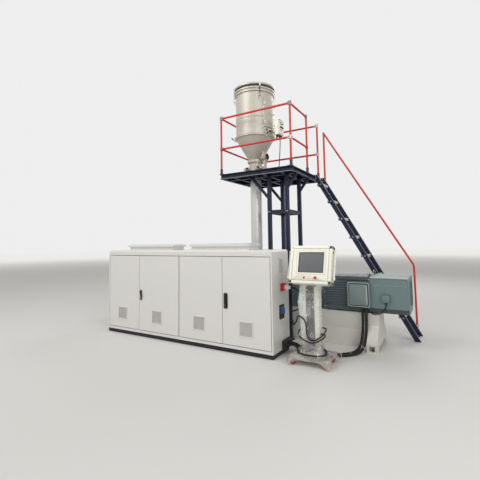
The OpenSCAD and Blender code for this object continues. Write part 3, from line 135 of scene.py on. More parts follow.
class Shader:
    """The node tree of one material, with its principled shader."""

    def __init__(self, name: str) -> None:
        """Starts an empty tree that ends in a principled shader.

        Args:
            name: The material's name.
        """
        self.material = bpy.data.materials.new(name)
        self.material.use_nodes = True
        self.tree = self.material.node_tree
        self.tree.nodes.clear()
        self.output = self.tree.nodes.new("ShaderNodeOutputMaterial")
        self.principled = self.tree.nodes.new("ShaderNodeBsdfPrincipled")
        self.tree.links.new(self.principled.outputs[0], self.output.inputs["Surface"])

    def node(
        self,
        kind: str,
        settings: dict | None = None,
        inputs: dict | None = None,
        output: int | str = 0,
    ) -> Sock:
        """Adds any node.

        Args:
            kind: The node's type.
            settings: Its properties, set first; "stops" are a ramp's places and colours.
            inputs: Values or links of its sockets, by name or number.
            output: The output that is wanted.

        Returns:
            That output.
        """
        made = self.tree.nodes.new(kind)
        for key, value in (settings or {}).items():
            if key == "stops":
                for i, (place, colour) in enumerate(value):
                    stop = made.color_ramp.elements[i] if i < 2 else made.color_ramp.elements.new(
                        place
                    )
                    stop.position, stop.color = place, colour
            else:
                setattr(made, key, value)
        for key, value in (inputs or {}).items():
            self.feed(made, key, value)
        return Sock(self, made.outputs[output])

    def feed(self, node: bpy.types.Node, key: int | str, value: object) -> None:
        """Links a socket to a wrapped output, or sets its value.

        Args:
            node: The node that is fed.
            key: The socket's name or number.
            value: A wrapped output or a plain value.
        """
        if isinstance(value, Sock):
            self.tree.links.new(value.socket, node.inputs[key])
        else:
            node.inputs[key].default_value = value

    def set(self, **values: object) -> None:
        """Feeds the principled shader; underscores in a name stand for blanks."""
        for key, value in values.items():
            self.feed(self.principled, key.replace("_", " "), value)

    def place(self, scale: Sequence[float] = (1, 1, 1), turn: Sequence[float] = (0, 0, 0)) -> Sock:
        """The object's own coordinates, stretched by scale and turned.

        Args:
            scale: Factor along each axis.
            turn: Angles about the axes, in radians.

        Returns:
            The coordinates.
        """
        coords = self.node("ShaderNodeTexCoord", output="Object")
        return self.node(
            "ShaderNodeMapping", None, {"Vector": coords, "Scale": scale, "Rotation": turn}
        )

    def axes(self) -> tuple[Sock, Sock, Sock]:
        """The object's own X, Y and Z.

        Returns:
            The three outputs.
        """
        split = self.node("ShaderNodeSeparateXYZ", None, {0: self.place()})
        outs = split.socket.node.outputs
        return Sock(self, outs[0]), Sock(self, outs[1]), Sock(self, outs[2])

    def noise(
        self, scale: float, detail: float = 3, at: Sock | None = None, rough: float = 0.55
    ) -> Sock:
        """Fractal noise, about 0.5 on average.

        Args:
            scale: How fine it is.
            detail: How many octaves it has.
            at: Its coordinates, or None for the object's own.
            rough: Weight of the finer octaves.

        Returns:
            The noise.
        """
        inputs = {
            "Vector": at or self.place(), "Scale": scale, "Detail": detail, "Roughness": rough
        }
        return self.node("ShaderNodeTexNoise", None, inputs)

    def cells(self, scale: float, output: str = "Distance", at: Sock | None = None) -> Sock:
        """Voronoi cells."""
        inputs = {"Vector": at or self.place(), "Scale": scale}
        return self.node("ShaderNodeTexVoronoi", None, inputs, output)

    def blend(self, factor: Sock | float, a: object, b: object) -> Sock:
        """A colour between a and b.

        Args:
            factor: How far it is from a to b.
            a: The colour at 0.
            b: The colour at 1.

        Returns:
            The colour.
        """
        return self.node(
            "ShaderNodeMix", {"data_type": "RGBA"}, {0: factor, 6: a, 7: b}, output=2
        )

    def bump(self, height: Sock, depth: float, strength: float = 1.0) -> None:
        """Gives the surface a relief of that depth in metres."""
        inputs = {"Height": height, "Distance": depth, "Strength": strength}
        self.set(Normal=self.node("ShaderNodeBump", None, inputs))


def seen(rgb: Sequence[int], factor: float = 1.0) -> tuple[float, float, float, float]:
    """A colour as it is seen, 0 to 255, made linear and multiplied by factor.

    Args:
        rgb: Red, green and blue.
        factor: Multiplies the linear colour.

    Returns:
        Linear red, green, blue and 1.
    """
    linear = [
        c / 255 / 12.92 if c / 255 <= 0.04045 else ((c / 255 + 0.055) / 1.055) ** 2.4 for c in rgb
    ]
    return (*(min(c * factor, 1.0) for c in linear), 1.0)


# Finishes

DUST_ON_LIGHT = (118, 108, 94)
DUST_ON_DARK = (120, 116, 112)
LIGHT_PAINT = 300  # sum of red, green and blue from which a paint counts as light


@dataclass(frozen=True)
class Finish:
    """What every finish has: a name, its colour as seen and its roughness."""

    name: str
    rgb: tuple[int, int, int]
    rough: float = 0.5

    def surface(self, s: Shader) -> None:
        """Lays the finish on a shader; each kind does it in its own way."""
        raise NotImplementedError

    def material(self) -> bpy.types.Material:
        """The material, made once.

        Returns:
            The material.
        """
        known = bpy.data.materials.get(self.name)
        if known:
            return known
        s = Shader(self.name)
        self.surface(s)
        return s.material


@dataclass(frozen=True)
class Enamel(Finish):
    """Sprayed paint: slight orange peel, clouding, dust that settles low down."""

    peel: float = 0.00012
    clouding: float = 0.06
    dust: float = 0.10
    coat: float = 0.15

    def surface(self, s: Shader) -> None:
        """Paint with a faint cloud of tone, runs of dust and an uneven gloss.

        Args:
            s: The shader that gets the finish.
        """
        cloud = s.noise(1.7, 3)
        runs = s.noise(1.0, 4, s.place((14, 14, 0.9)))
        fine = s.noise(55, 3)
        height = s.axes()[2]
        low = 1 - height.above(0.0, 0.7)
        settled = ((low * 0.7 + 0.35) * runs.above(0.42, 0.75) * (fine * 0.6 + 0.5)) * self.dust
        base = s.blend(
            cloud.above(0.25, 0.75),
            seen(self.rgb, 1 - self.clouding),
            seen(self.rgb, 1 + self.clouding),
        )
        grime = DUST_ON_LIGHT if sum(self.rgb) > LIGHT_PAINT else DUST_ON_DARK
        s.set(
            Base_Color=s.blend(settled.clamped(), base, seen(grime)),
            Roughness=(cloud - 0.5) * 0.16 + settled * 0.5 + self.rough,
            Coat_Weight=self.coat,
            Coat_Roughness=0.25,
        )
        s.bump(s.noise(420, 2) + s.noise(9, 2) * 1.5, self.peel)


@dataclass(frozen=True)
class BareMetal(Finish):
    """Steel that shows its working: brushed, turned or rolled along one axis."""

    grain: tuple[float, float, float] = (2, 2, 90)
    stain: float = 0.12
    metal: float = 1.0

    def surface(self, s: Shader) -> None:
        """Metal with a stretched grain and darker clouds.

        Args:
            s: The shader that gets the finish.
        """
        lines = s.noise(6, 4, s.place(self.grain), 0.7)
        cloud = s.noise(3.5, 4)
        dark = cloud.above(0.45, 0.8) * self.stain
        base = s.blend(lines.above(0.2, 0.8), seen(self.rgb, 0.86), seen(self.rgb, 1.08))
        s.set(
            Base_Color=s.blend(dark, base, seen((92, 84, 76))),
            Roughness=lines * 0.18 + cloud * 0.12 + (self.rough - 0.15),
            Metallic=self.metal,
        )
        s.bump(lines, 0.0001)


@dataclass(frozen=True)
class Zinc(Finish):
    """Hot dipped zinc with its spangle and white bloom."""

    spangle: float = 95

    def surface(self, s: Shader) -> None:
        """Cells of slightly different grey under a dull bloom.

        Args:
            s: The shader that gets the finish.
        """
        tone = s.node("ShaderNodeSeparateColor", None, {0: s.cells(self.spangle, "Color")})
        bloom = s.noise(7, 5).above(0.45, 0.8)
        base = s.blend(tone, seen(self.rgb, 0.78), seen(self.rgb, 1.12))
        s.set(
            Base_Color=s.blend(bloom * 0.5, base, seen((205, 206, 204))),
            Roughness=bloom * 0.25 + tone * 0.12 + (self.rough - 0.1),
            Metallic=0.75 - bloom * 0.4,
        )
        s.bump(s.noise(160, 3), 0.00015)


@dataclass(frozen=True)
class Moulded(Finish):
    """Moulded plastic or rubber with a fine grain."""

    grain: float = 700
    depth: float = 0.0001

    def surface(self, s: Shader) -> None:
        """Plastic with a spark eroded grain and handling marks.

        Args:
            s: The shader that gets the finish.
        """
        rub = s.noise(22, 4).above(0.5, 0.8)
        base = s.blend(rub * 0.5, seen(self.rgb, 0.94), seen(self.rgb, 1.22))
        s.set(Base_Color=base, Roughness=self.rough - rub * 0.12, Coat_Weight=0.0)
        s.bump(s.cells(self.grain) + s.noise(30, 2), self.depth)


@dataclass(frozen=True)
class TwoPart(Moulded):
    """Plastic whose parts in front of a plane across one axis have another colour."""

    other: tuple[int, int, int] = (235, 233, 226)
    axis: int = 1
    edge: float = -1.33

    def surface(self, s: Shader) -> None:
        """Moulded plastic in two colours.

        Args:
            s: The shader that gets the finish.
        """
        front = s.axes()[self.axis].above(self.edge - 0.0004, self.edge + 0.0004)
        rub = s.noise(22, 4).above(0.5, 0.8)
        base = s.blend(front, seen(self.rgb), seen(self.other))
        s.set(Base_Color=s.blend(rub * 0.2, base, seen((128, 122, 116))), Roughness=self.rough)
        s.bump(s.cells(self.grain), self.depth)


@dataclass(frozen=True)
class ChequerPlate(Finish):
    """Painted plate with raised bars in pairs, worn where it is walked on."""

    pitch: float = 0.034

    def surface(self, s: Shader) -> None:
        """Crossed rows of raised bars, with paint worn off their tops.

        Args:
            s: The shader that gets the finish.
        """
        x, y, _ = s.axes()
        bars = []
        for along, across in ((x + y, x - y), (x - y, x + y)):
            shift = 0.5 * len(bars)
            u = ((along / (self.pitch * 2) + shift).wrapped() - 0.5).size()
            v = ((across / (self.pitch * 2) + shift).wrapped() - 0.5).size()
            bars.append((1 - u.above(0.16, 0.22)) * (1 - v.above(0.045, 0.075)))
        raised = (bars[0] + bars[1]).clamped()
        worn = raised * s.noise(5, 4).above(0.5, 0.75)
        base = s.blend(s.noise(3, 3), seen(self.rgb, 0.85), seen(self.rgb, 1.2))
        s.set(
            Base_Color=s.blend(worn * 0.7, base, seen((120, 122, 126))),
            Roughness=self.rough - worn * 0.15,
        )
        s.bump(raised + s.noise(300, 2) * 0.06, 0.0012)


@dataclass(frozen=True)
class DisplayGlass(Finish):
    """A dark display behind glass, switched off."""

    def surface(self, s: Shader) -> None:
        """Grey glass, lighter towards the top as a painted reflection, with fine dust.

        Args:
            s: The shader that gets the finish.
        """
        # lighter from 1.1 m to 1.4 m up: a painted reflection on the screen
        top_reflection = s.axes()[2].above(1.1, 1.4)
        dust = s.noise(90, 5).above(0.6, 0.85)
        base = s.blend(top_reflection, seen(self.rgb, 0.8), seen(self.rgb, 1.15))
        s.set(
            Base_Color=s.blend(dust * 0.15, base, seen((190, 188, 180))),
            Roughness=dust * 0.35 + self.rough,
            Coat_Weight=1.0,
            Coat_Roughness=0.04,
        )


@dataclass(frozen=True)
class ClearFilm(Finish):
    """Thin packing film, crumpled: it shows by its creases, and is milky where it bulges."""

    veil: float = 0.10
    crease: float = 0.55

    def surface(self, s: Shader) -> None:
        """See-through sheet whose creases catch the light; its crease lines are also more opaque
        white, painted highlights, and low down it turns brown-grey with light and dark streaks,
        painted shade and highlights of its folds.

        Args:
            s: The shader that gets the finish.
        """
        x, _, z = s.axes()
        folds = s.cells(16, at=s.place((1, 1, 0.7))) + s.noise(19, 5) * 0.6
        sharp = (folds - 0.55).size()
        # crease lines: more opaque white, painted highlights
        line = 1 - sharp.above(0.0, 0.06)
        milk = (1 - x.above(1.28, 1.34)) * z.above(0.24, 0.36)
        low = 1 - z.above(0.16, 0.40)
        patch = s.noise(9, 3).above(0.42, 0.72)
        # streaks between a dark and a light brown-grey low on the film: painted shade and
        # highlights of its folds
        shade = s.noise(6, 4, s.place((1, 1, 2.4), (20, 0, 30))).above(0.38, 0.62)
        dull = s.blend(shade, seen((112, 106, 99)), seen((188, 182, 174)))
        base = s.blend((low * 0.9).clamped(), seen(self.rgb), dull)
        s.set(
            Base_Color=s.blend(milk, base, seen(self.rgb)),
            Roughness=line * 0.2 + self.rough,
            Alpha=(
                line * self.crease + patch * 0.26 + milk * 0.46 + low * 0.52 + self.veil
            ).clamped(),
            Coat_Weight=0.6,
        )
        s.bump(folds, 0.005)


class Paint(Enum):
    """The finishes of the record's material slots, and those of the fittings."""

    CABINET = Enamel("cabinet_white", (214, 209, 201), 0.42)
    PLINTH = Enamel("plinth_black", (30, 30, 32), 0.55, dust=0.35)
    GALVANISED = Zinc("galvanised", (168, 171, 172), 0.5)
    BLACK = Moulded("black_plastic", (30, 30, 32), 0.45)
    SIGNAL = Moulded("signal_red", (168, 34, 28), 0.36)
    PLUG = Moulded("plug_white", (232, 230, 222), 0.42)
    BLUE = Moulded("knob_blue", (38, 66, 128), 0.4)
    BED = Enamel("bed_white", (234, 224, 213), 0.4)
    MOTOR = Enamel("motor_blue_grey", (110, 125, 124), 0.36, coat=0.3)
    STEEL = BareMetal("machined_steel", (168, 168, 166), 0.34, grain=(90, 2, 2))
    NAVY = Enamel("navy_paint", (30, 36, 56), 0.38, coat=0.3)
    RED = Enamel("rail_red", (196, 52, 42), 0.36, coat=0.3)
    TREAD = Zinc("tread_steel", (196, 196, 192), 0.55)
    STAINLESS = BareMetal("stainless", (186, 188, 190), 0.3, grain=(40, 40, 1.5))
    CREAM = Enamel("hopper_cream", (216, 205, 188), 0.42, coat=0.2)
    PANEL = Enamel("panel_cream", (206, 205, 203), 0.42)
    SCREEN = DisplayGlass("screen_grey", (92, 93, 90), 0.16)
    HANDLE = Moulded("handle_white", (236, 235, 230), 0.34)
    CABLE = Moulded("cable_black", (26, 26, 28), 0.5)
    DECK = ChequerPlate("deck_chequer", (30, 36, 56), 0.42)
    SLAT = Enamel("grille_grey", (176, 170, 164), 0.5)
    # dark rubber for seals and gaskets; the same dark also fills openings, slots and gaps as
    # painted shade
    RUBBER = Moulded("seal_rubber", (24, 24, 25), 0.7, grain=300)
    BOLT = BareMetal("bolt_zinc", (176, 176, 170), 0.38, grain=(9, 9, 9))
    PALE = Enamel("fitting_pale", (222, 222, 218), 0.38)
    GREY = Enamel("fitting_grey", (150, 152, 154), 0.42)
    DARK = Enamel("socket_navy", (24, 28, 42), 0.4, coat=0.3)
    # dark green on the hood's recessed skirt: painted shade
    LOWER = Enamel("hood_shadow_green", (58, 74, 74), 0.42)
    CORNER = Moulded("corner_grey", (62, 64, 66), 0.5)
    BEZEL = Moulded("bezel_charcoal", (46, 48, 50), 0.42)
    CASTOR = Moulded("castor_red", (186, 50, 40), 0.4)
    DOOR_FACE = TwoPart("handle_two_part", (28, 28, 30), 0.4)
    TIE = Moulded("tie_white", (228, 228, 222), 0.4)
    BRASS = BareMetal("brass", (196, 168, 104), 0.3, grain=(12, 12, 12))
    GLASS = DisplayGlass("oil_glass", (150, 112, 48), 0.1)
    # bright metal strips along edges: painted highlights
    WORN = BareMetal("worn_edge", (150, 152, 152), 0.4, grain=(9, 9, 9))
    SEAM = Enamel("seam_shadow", (120, 118, 110), 0.6)
    CHANNEL = Enamel("column_channel", (92, 88, 84), 0.4)
    FRAME = Enamel("motor_frame_dark", (68, 82, 86), 0.4, coat=0.3)
    CROWN = Enamel("terminal_crown", (116, 132, 131), 0.34, coat=0.3)
    SHADOW = Enamel("groove_shadow", (40, 50, 54), 0.6)
    # pale paint on lit edges: painted highlights
    ROLL = Enamel("hood_roll_pale", (178, 184, 178), 0.34, coat=0.3)
    GAUZE = Moulded("grille_gauze", (96, 92, 88), 0.7, grain=900)
    FILM = ClearFilm("packing_film", (232, 236, 238), 0.16)

    def material(self) -> bpy.types.Material:
        """The finish's material."""
        return self.value.material()


# Places

SINK = 0.0001  # how deep fittings sit in what carries them


def move(x: float, y: float, z: float) -> Matrix:
    """A shift."""
    return Matrix.Translation((x, y, z))


def turn(axis: str, degrees: float) -> Matrix:
    """A turn about one of the axes."""
    return Matrix.Rotation(math.radians(degrees), 4, axis)


def aim(direction: Sequence[float]) -> Matrix:
    """Turns +Z to a direction."""
    return Vector(direction).to_track_quat("Z", "Y").to_matrix().to_4x4()


def between(a: Point, b: Point) -> Matrix:
    """A place at a, with +Z towards b."""
    return move(*a) @ aim(Vector(b) - Vector(a))


FRONT, REAR = turn("X", 90), turn("X", -90)
RIGHT, LEFT = turn("Y", 90), turn("Y", -90)


def outward(x: float, y: float, z: float) -> Matrix:
    """A place on a wall across Y, whose +Z looks away from the machine's middle."""
    return move(x, y, z) @ (FRONT if y < 0 else REAR)


def around(count: int, radius: float, start: float = 0.0, z: float = 0.0) -> list[Matrix]:
    """Places evenly spread on a circle about Z."""
    return [turn("Z", start + 360 * k / count) @ move(radius, 0, z) for k in range(count)]


def rounded_outline(w: float, d: float, r: float, steps: int = 6) -> list[tuple[float, float]]:
    """The outline of a centred rectangle with round corners, turning left.

    Args:
        w: Its width in X.
        d: Its depth in Y.
        r: The corners' radius.
        steps: Straight stretches in each corner.

    Returns:
        Its points.
    """
    points = []
    for sx, sy, start in ((1, 1, 0), (-1, 1, 90), (-1, -1, 180), (1, -1, 270)):
        for k in range(steps + 1):
            a = math.radians(start + 90 * k / steps)
            points.append((sx * (w / 2 - r) + r * math.cos(a), sy * (d / 2 - r) + r * math.sin(a)))
    return points


# Meshes


class Form:
    """A mesh under construction, shaped by bmesh operators."""

    def __init__(self) -> None:
        """Starts empty."""
        self.bm = bmesh.new()

    @classmethod
    def block(cls, w: float, d: float, h: float, edge: float = 0.002, steps: int = 2) -> "Form":
        """A block on the origin's plane, centred in X and Y, with rounded edges.

        Args:
            w: Width in X.
            d: Depth in Y.
            h: Height.
            edge: Width of the rounded edges.
            steps: Faces across each of them.

        Returns:
            The block.
        """
        form = cls()
        place = move(0, 0, h / 2) @ Matrix.Diagonal((w, d, h, 1))
        bmesh.ops.create_cube(form.bm, size=1, matrix=place)
        return form.soften(min(edge, w / 3, d / 3, h / 3), steps)

    @classmethod
    def span(cls, lo: Point, hi: Point, edge: float = 0.002, steps: int = 2) -> "Form":
        """A block from its lowest to its highest corner.

        Args:
            lo: The lowest corner.
            hi: The highest corner.
            edge: Width of the rounded edges.
            steps: Faces across each of them.

        Returns:
            The block.
        """
        size = [b - a for a, b in zip(lo, hi)]
        place = move((lo[0] + hi[0]) / 2, (lo[1] + hi[1]) / 2, lo[2])
        return cls.block(*size, edge, steps).at(place)

    @classmethod
    def rod(
        cls, r: float, h: float, sides: int = 24, edge: float = 0.001, top: float | None = None
    ) -> "Form":
        """A round or many-sided bar up from the origin, with softened rims.

        Args:
            r: Radius at the origin.
            h: Length along +Z.
            sides: Number of sides.
            edge: Width of the softened rims.
            top: Radius at the far end, where it differs.

        Returns:
            The bar.
        """
        form = cls()
        far = r if top is None else top
        bmesh.ops.create_cone(
            form.bm, cap_ends=True, segments=sides, radius1=r, radius2=far, depth=h,
            matrix=move(0, 0, h / 2),
        )
        return form.soften(min(edge, h / 3, far / 2), 2, 50) if edge else form

    @classmethod
    def lathe(cls, profile: Outline, sides: int = 48, ring: bool = False) -> "Form":
        """A turned shape about Z from a profile of radius and height.

        Args:
            profile: Points (r, z), from the bottom axis point round to the top one.
            sides: Steps of the full turn.
            ring: Whether the profile closes on itself.

        Returns:
            The turned shape.
        """
        form = cls()
        verts = [form.bm.verts.new((r, 0, z)) for r, z in profile]
        pairs = list(zip(verts, verts[1:])) + ([(verts[-1], verts[0])] if ring else [])
        edges = [form.bm.edges.new(p) for p in pairs]
        bmesh.ops.spin(
            form.bm, geom=verts + edges, cent=(0, 0, 0), axis=(0, 0, 1), angle=math.tau,
            steps=sides, use_merge=True,
        )
        bmesh.ops.remove_doubles(form.bm, verts=form.bm.verts, dist=1e-6)
        bmesh.ops.recalc_face_normals(form.bm, faces=form.bm.faces)
        return form

    @classmethod
    def hoop(cls, inner: float, outer: float, low: float, high: float, sides: int = 48) -> "Form":
        """A flat ring about Z between two heights, or a disc where inner is 0."""
        profile = [(inner, low), (outer, low), (outer, high), (inner, high)]
        return cls.lathe(profile, sides, ring=inner > 0)

    @classmethod
    def torus(cls, major: float, minor: float, sides: int) -> "Form":
        """A ring of round wire about Z.

        Args:
            major: Radius of the wire's middle line.
            minor: The wire's radius.
            sides: Steps of the full turn.

        Returns:
            The ring.
        """
        angles = [k * math.tau / 8 for k in range(8)]
        profile = [(major + minor * math.cos(a), minor * math.sin(a)) for a in angles]
        return cls.lathe(profile, sides, ring=True)

    @classmethod
    def plate(cls, outline: Outline, thick: float, edge: float = 0.001) -> "Form":
        """A flat plate: an outline in X and Y drawn up along +Z.

        Args:
            outline: Its outline, turning left.
            thick: Its thickness.
            edge: Width of the softened edges.

        Returns:
            The plate.
        """
        form = cls()
        face = form.bm.faces.new([form.bm.verts.new((x, y, 0)) for x, y in outline])
        up = bmesh.ops.extrude_face_region(form.bm, geom=[face])["geom"]
        lifted = [v for v in up if isinstance(v, bmesh.types.BMVert)]
        bmesh.ops.translate(form.bm, vec=(0, 0, thick), verts=lifted)
        bmesh.ops.recalc_face_normals(form.bm, faces=form.bm.faces)
        return form.soften(edge, 2) if edge else form

    @classmethod
    def tube(
        cls,
        path: Sequence[Vector],
        radius: float | Callable[[float], float],
        sides: int = 12,
        capped: bool = True,
    ) -> "Form":
        """A round bar along a path.

        Args:
            path: Points of its middle line.
            radius: Its radius, or the radius at each length along it.
            sides: Number of sides.
            capped: Whether its ends are closed.

        Returns:
            The bar.
        """
        form = cls()
        points = [Vector(p) for p in path]
        size = radius if callable(radius) else lambda _: radius
        frames = carried_frames(points)
        ring = bmesh.ops.create_circle(form.bm, cap_ends=False, segments=sides, radius=1.0)["verts"]
        first = list(ring)
        now = frames[0] @ Matrix.Diagonal((size(0), size(0), 1, 1))
        bmesh.ops.transform(form.bm, matrix=now, verts=ring)
        edges = list({e for v in ring for e in v.link_edges})
        gone = 0.0
        for i in range(1, len(points)):
            gone += (points[i] - points[i - 1]).length
            grown = bmesh.ops.extrude_edge_only(form.bm, edges=edges)["geom"]
            ring = [v for v in grown if isinstance(v, bmesh.types.BMVert)]
            edges = [
                e
                for e in grown
                if isinstance(e, bmesh.types.BMEdge) and all((v in ring for v in e.verts))
            ]
            then = frames[i] @ Matrix.Diagonal((size(gone), size(gone), 1, 1))
            bmesh.ops.transform(form.bm, matrix=then @ now.inverted(), verts=ring)
            now = then
        if capped:
            bmesh.ops.contextual_create(form.bm, geom=first)
            bmesh.ops.contextual_create(form.bm, geom=ring)
        bmesh.ops.recalc_face_normals(form.bm, faces=form.bm.faces)
        return form

    @classmethod
    def ring_plate(cls, outline: Outline, thick: float, height: float) -> "Form":
        """A band outside an outline, which turns left in X and Y, drawn up along +Z.

        Args:
            outline: The band's inner line, turning left.
            thick: Its thickness outwards.
            height: Its height.

        Returns:
            The band.
        """
        form = cls()
        verts = [form.bm.verts.new((x, y, 0)) for x, y in outline]
        edges = [form.bm.edges.new(p) for p in zip(verts, [*verts[1:], verts[0]])]
        up = bmesh.ops.extrude_edge_only(form.bm, edges=edges)["geom"]
        lifted = [v for v in up if isinstance(v, bmesh.types.BMVert)]
        bmesh.ops.translate(form.bm, vec=(0, 0, height), verts=lifted)
        bmesh.ops.recalc_face_normals(form.bm, faces=form.bm.faces)
        centre = sum((Vector(v.co) for v in form.bm.verts), Vector()) / len(form.bm.verts)
        face = next(iter(form.bm.faces))
        points_out = face.normal.dot(face.calc_center_median() - centre) > 0
        if not points_out:
            bmesh.ops.reverse_faces(form.bm, faces=form.bm.faces)
        bmesh.ops.solidify(form.bm, geom=list(form.bm.faces), thickness=-thick)
        bmesh.ops.recalc_face_normals(form.bm, faces=form.bm.faces)
        return form

    @classmethod
    def bolt(cls, r: float, washer: bool = True) -> "Form":
        """A hexagon head with its chamfer, on a washer; r is half its width across corners.

        Args:
            r: Half its width across corners.
            washer: Whether it sits on a washer.

        Returns:
            The head.
        """
        form = cls()
        base = 0.0
        if washer:
            form.put(cls.rod(r * 1.28, r * 0.2, 20, r * 0.05))
            base = r * 0.2
        form.put(cls.rod(r, r * 0.62, 6, 0).at(move(0, 0, base)))
        form.put(cls.rod(r * 0.86, r * 0.1, 12, 0, r * 0.7).at(move(0, 0, base + r * 0.6)))
        form.put(cls.rod(r * 0.45, r * 0.32, 10, 0).at(move(0, 0, base + r * 0.6)))
        return form

    @classmethod
    def screw(cls, r: float) -> "Form":
        """A domed screw head with a hexagon socket in it.

        Args:
            r: The head's radius.

        Returns:
            The head.
        """
        steps = (
            (0, 0), (1, 0), (1, 0.25), (0.86, 0.5), (0.55, 0.62), (0.46, 0.62), (0.42, 0.3),
            (0, 0.3),
        )
        return cls.lathe([(r * a, r * b) for a, b in steps], 16)

    def soften(self, width: float, steps: int = 2, angle: float = 30) -> "Form":
        """Bevels every edge that turns more than an angle.

        Args:
            width: Width of the bevel.
            steps: Faces across it.
            angle: Edges that turn less than this, in degrees, stay as they are.

        Returns:
            The form itself.
        """
        limit = math.radians(angle)
        sharp = [e for e in self.bm.edges if e.is_manifold and e.calc_face_angle(0) > limit]
        if sharp and width > 0:
            bmesh.ops.bevel(
                self.bm, geom=sharp, offset=width, offset_type="OFFSET", affect="EDGES",
                segments=steps, profile=0.5, material=-1, clamp_overlap=True,
            )
        return self

    def at(self, place: Matrix) -> "Form":
        """Moves the whole form.

        Args:
            place: Where it goes.

        Returns:
            The form itself.
        """
        bmesh.ops.transform(self.bm, matrix=place, verts=self.bm.verts)
        if place.determinant() < 0:
            bmesh.ops.reverse_faces(self.bm, faces=self.bm.faces)
        return self

    def put(self, other: "Form", places: Iterable[Matrix] = (Matrix.Identity(4),)) -> "Form":
        """Adds another form once at each place.

        Args:
            other: The form that is added.
            places: Where its copies go.

        Returns:
            The form itself.
        """
        mesh = bpy.data.meshes.new("stamp")
        other.bm.to_mesh(mesh)
        for place in places:
            before = len(self.bm.verts)
            self.bm.from_mesh(mesh)
            self.bm.verts.ensure_lookup_table()
            bmesh.ops.transform(self.bm, matrix=place, verts=self.bm.verts[before:])
        bpy.data.meshes.remove(mesh)
        return self

    def spread(self, places: Iterable[Matrix]) -> "Form":
        """A new form that holds this one at each place."""
        copies = Form()
        return copies.put(self, places)

    def piece(
        self, name: str, paint: Paint, body: str = "machine", smooth: float = 35
    ) -> bpy.types.Object:
        """Makes the object, gives it its finish and sets it on a body.

        Args:
            name: The piece's name.
            paint: Its finish.
            body: The CAD body it moves with.
            smooth: Edges that turn more than this angle stay sharp.

        Returns:
            The object.
        """
        mesh = bpy.data.meshes.new(name)
        self.bm.to_mesh(mesh)
        self.bm.free()
        mesh.polygons.foreach_set("use_smooth", [True] * len(mesh.polygons))
        mesh.set_sharp_from_angle(angle=math.radians(smooth))
        mesh.materials.append(paint.material())
        made = bpy.data.objects.new(name, mesh)
        bpy.context.scene.collection.objects.link(made)
        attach(made, body)
        log.info("%s: %d faces on %s", name, len(mesh.polygons), body)
        return made


def carried_frames(points: Sequence[Vector]) -> list[Matrix]:
    """Frames along a path, with +Z along it, carried on without twist.

    Args:
        points: The path.

    Returns:
        One frame at each point.
    """
    frames = []
    side = None
    for i, point in enumerate(points):
        ahead = points[min(i + 1, len(points) - 1)] - points[max(i - 1, 0)]
        ahead.normalize()
        if side is None:
            side = ahead.orthogonal().normalized()
        side = (side - ahead * side.dot(ahead)).normalized()
        up = ahead.cross(side)
        turned = Matrix((side, up, ahead)).transposed().to_4x4()
        frames.append(Matrix.Translation(point) @ turned)
    return frames


def smooth_path(points: Sequence[Point], steps: int = 8) -> list[Vector]:
    """A smooth line through the route's points.

    Args:
        points: The route.
        steps: Points for each stretch of it.

    Returns:
        The finer path.
    """
    p = [Vector(q) for q in points]
    p = [p[0] * 2 - p[1], *p, p[-1] * 2 - p[-2]]
    path = []
    for a, b, c, d in zip(p, p[1:], p[2:], p[3:]):
        for k in range(steps):
            t = k / steps
            path.append(
                0.5 * (2 * b + (c - a) * t + (2 * a - 5 * b + 4 * c - d) * t**2
                       + (3 * b - 3 * c + d - a) * t**3)
            )
    return [*path, p[-2]]


def path_length(path: Sequence[Vector]) -> float:
    """The length of a path."""
    return sum((b - a).length for a, b in zip(path, path[1:]))


def wire_rings(radii: Sequence[float], wire: float, low: float, high: float, sides: int) -> Form:
    """Concentric rings of wire, as in a fan's guard.

    Args:
        radii: Radius of each ring.
        wire: Half the wire's width.
        low: Height of its lower face.
        high: Height of its upper face.
        sides: Steps of the full turn.

    Returns:
        The rings.
    """
    guard = Form()
    for r in radii:
        guard.put(Form.hoop(r - wire, r + wire, low, high, sides))
    return guard


def bow(half: Outline, radius: float) -> Form:
    """A bowed grip from the points (x, y) of its first half; the second mirrors it across X."""
    line = [(x, y, 0.0) for x, y in half] + [(x, -y, 0.0) for x, y in reversed(half)]
    return Form.tube(smooth_path(line, 4), radius, 14)


# Studio and cables


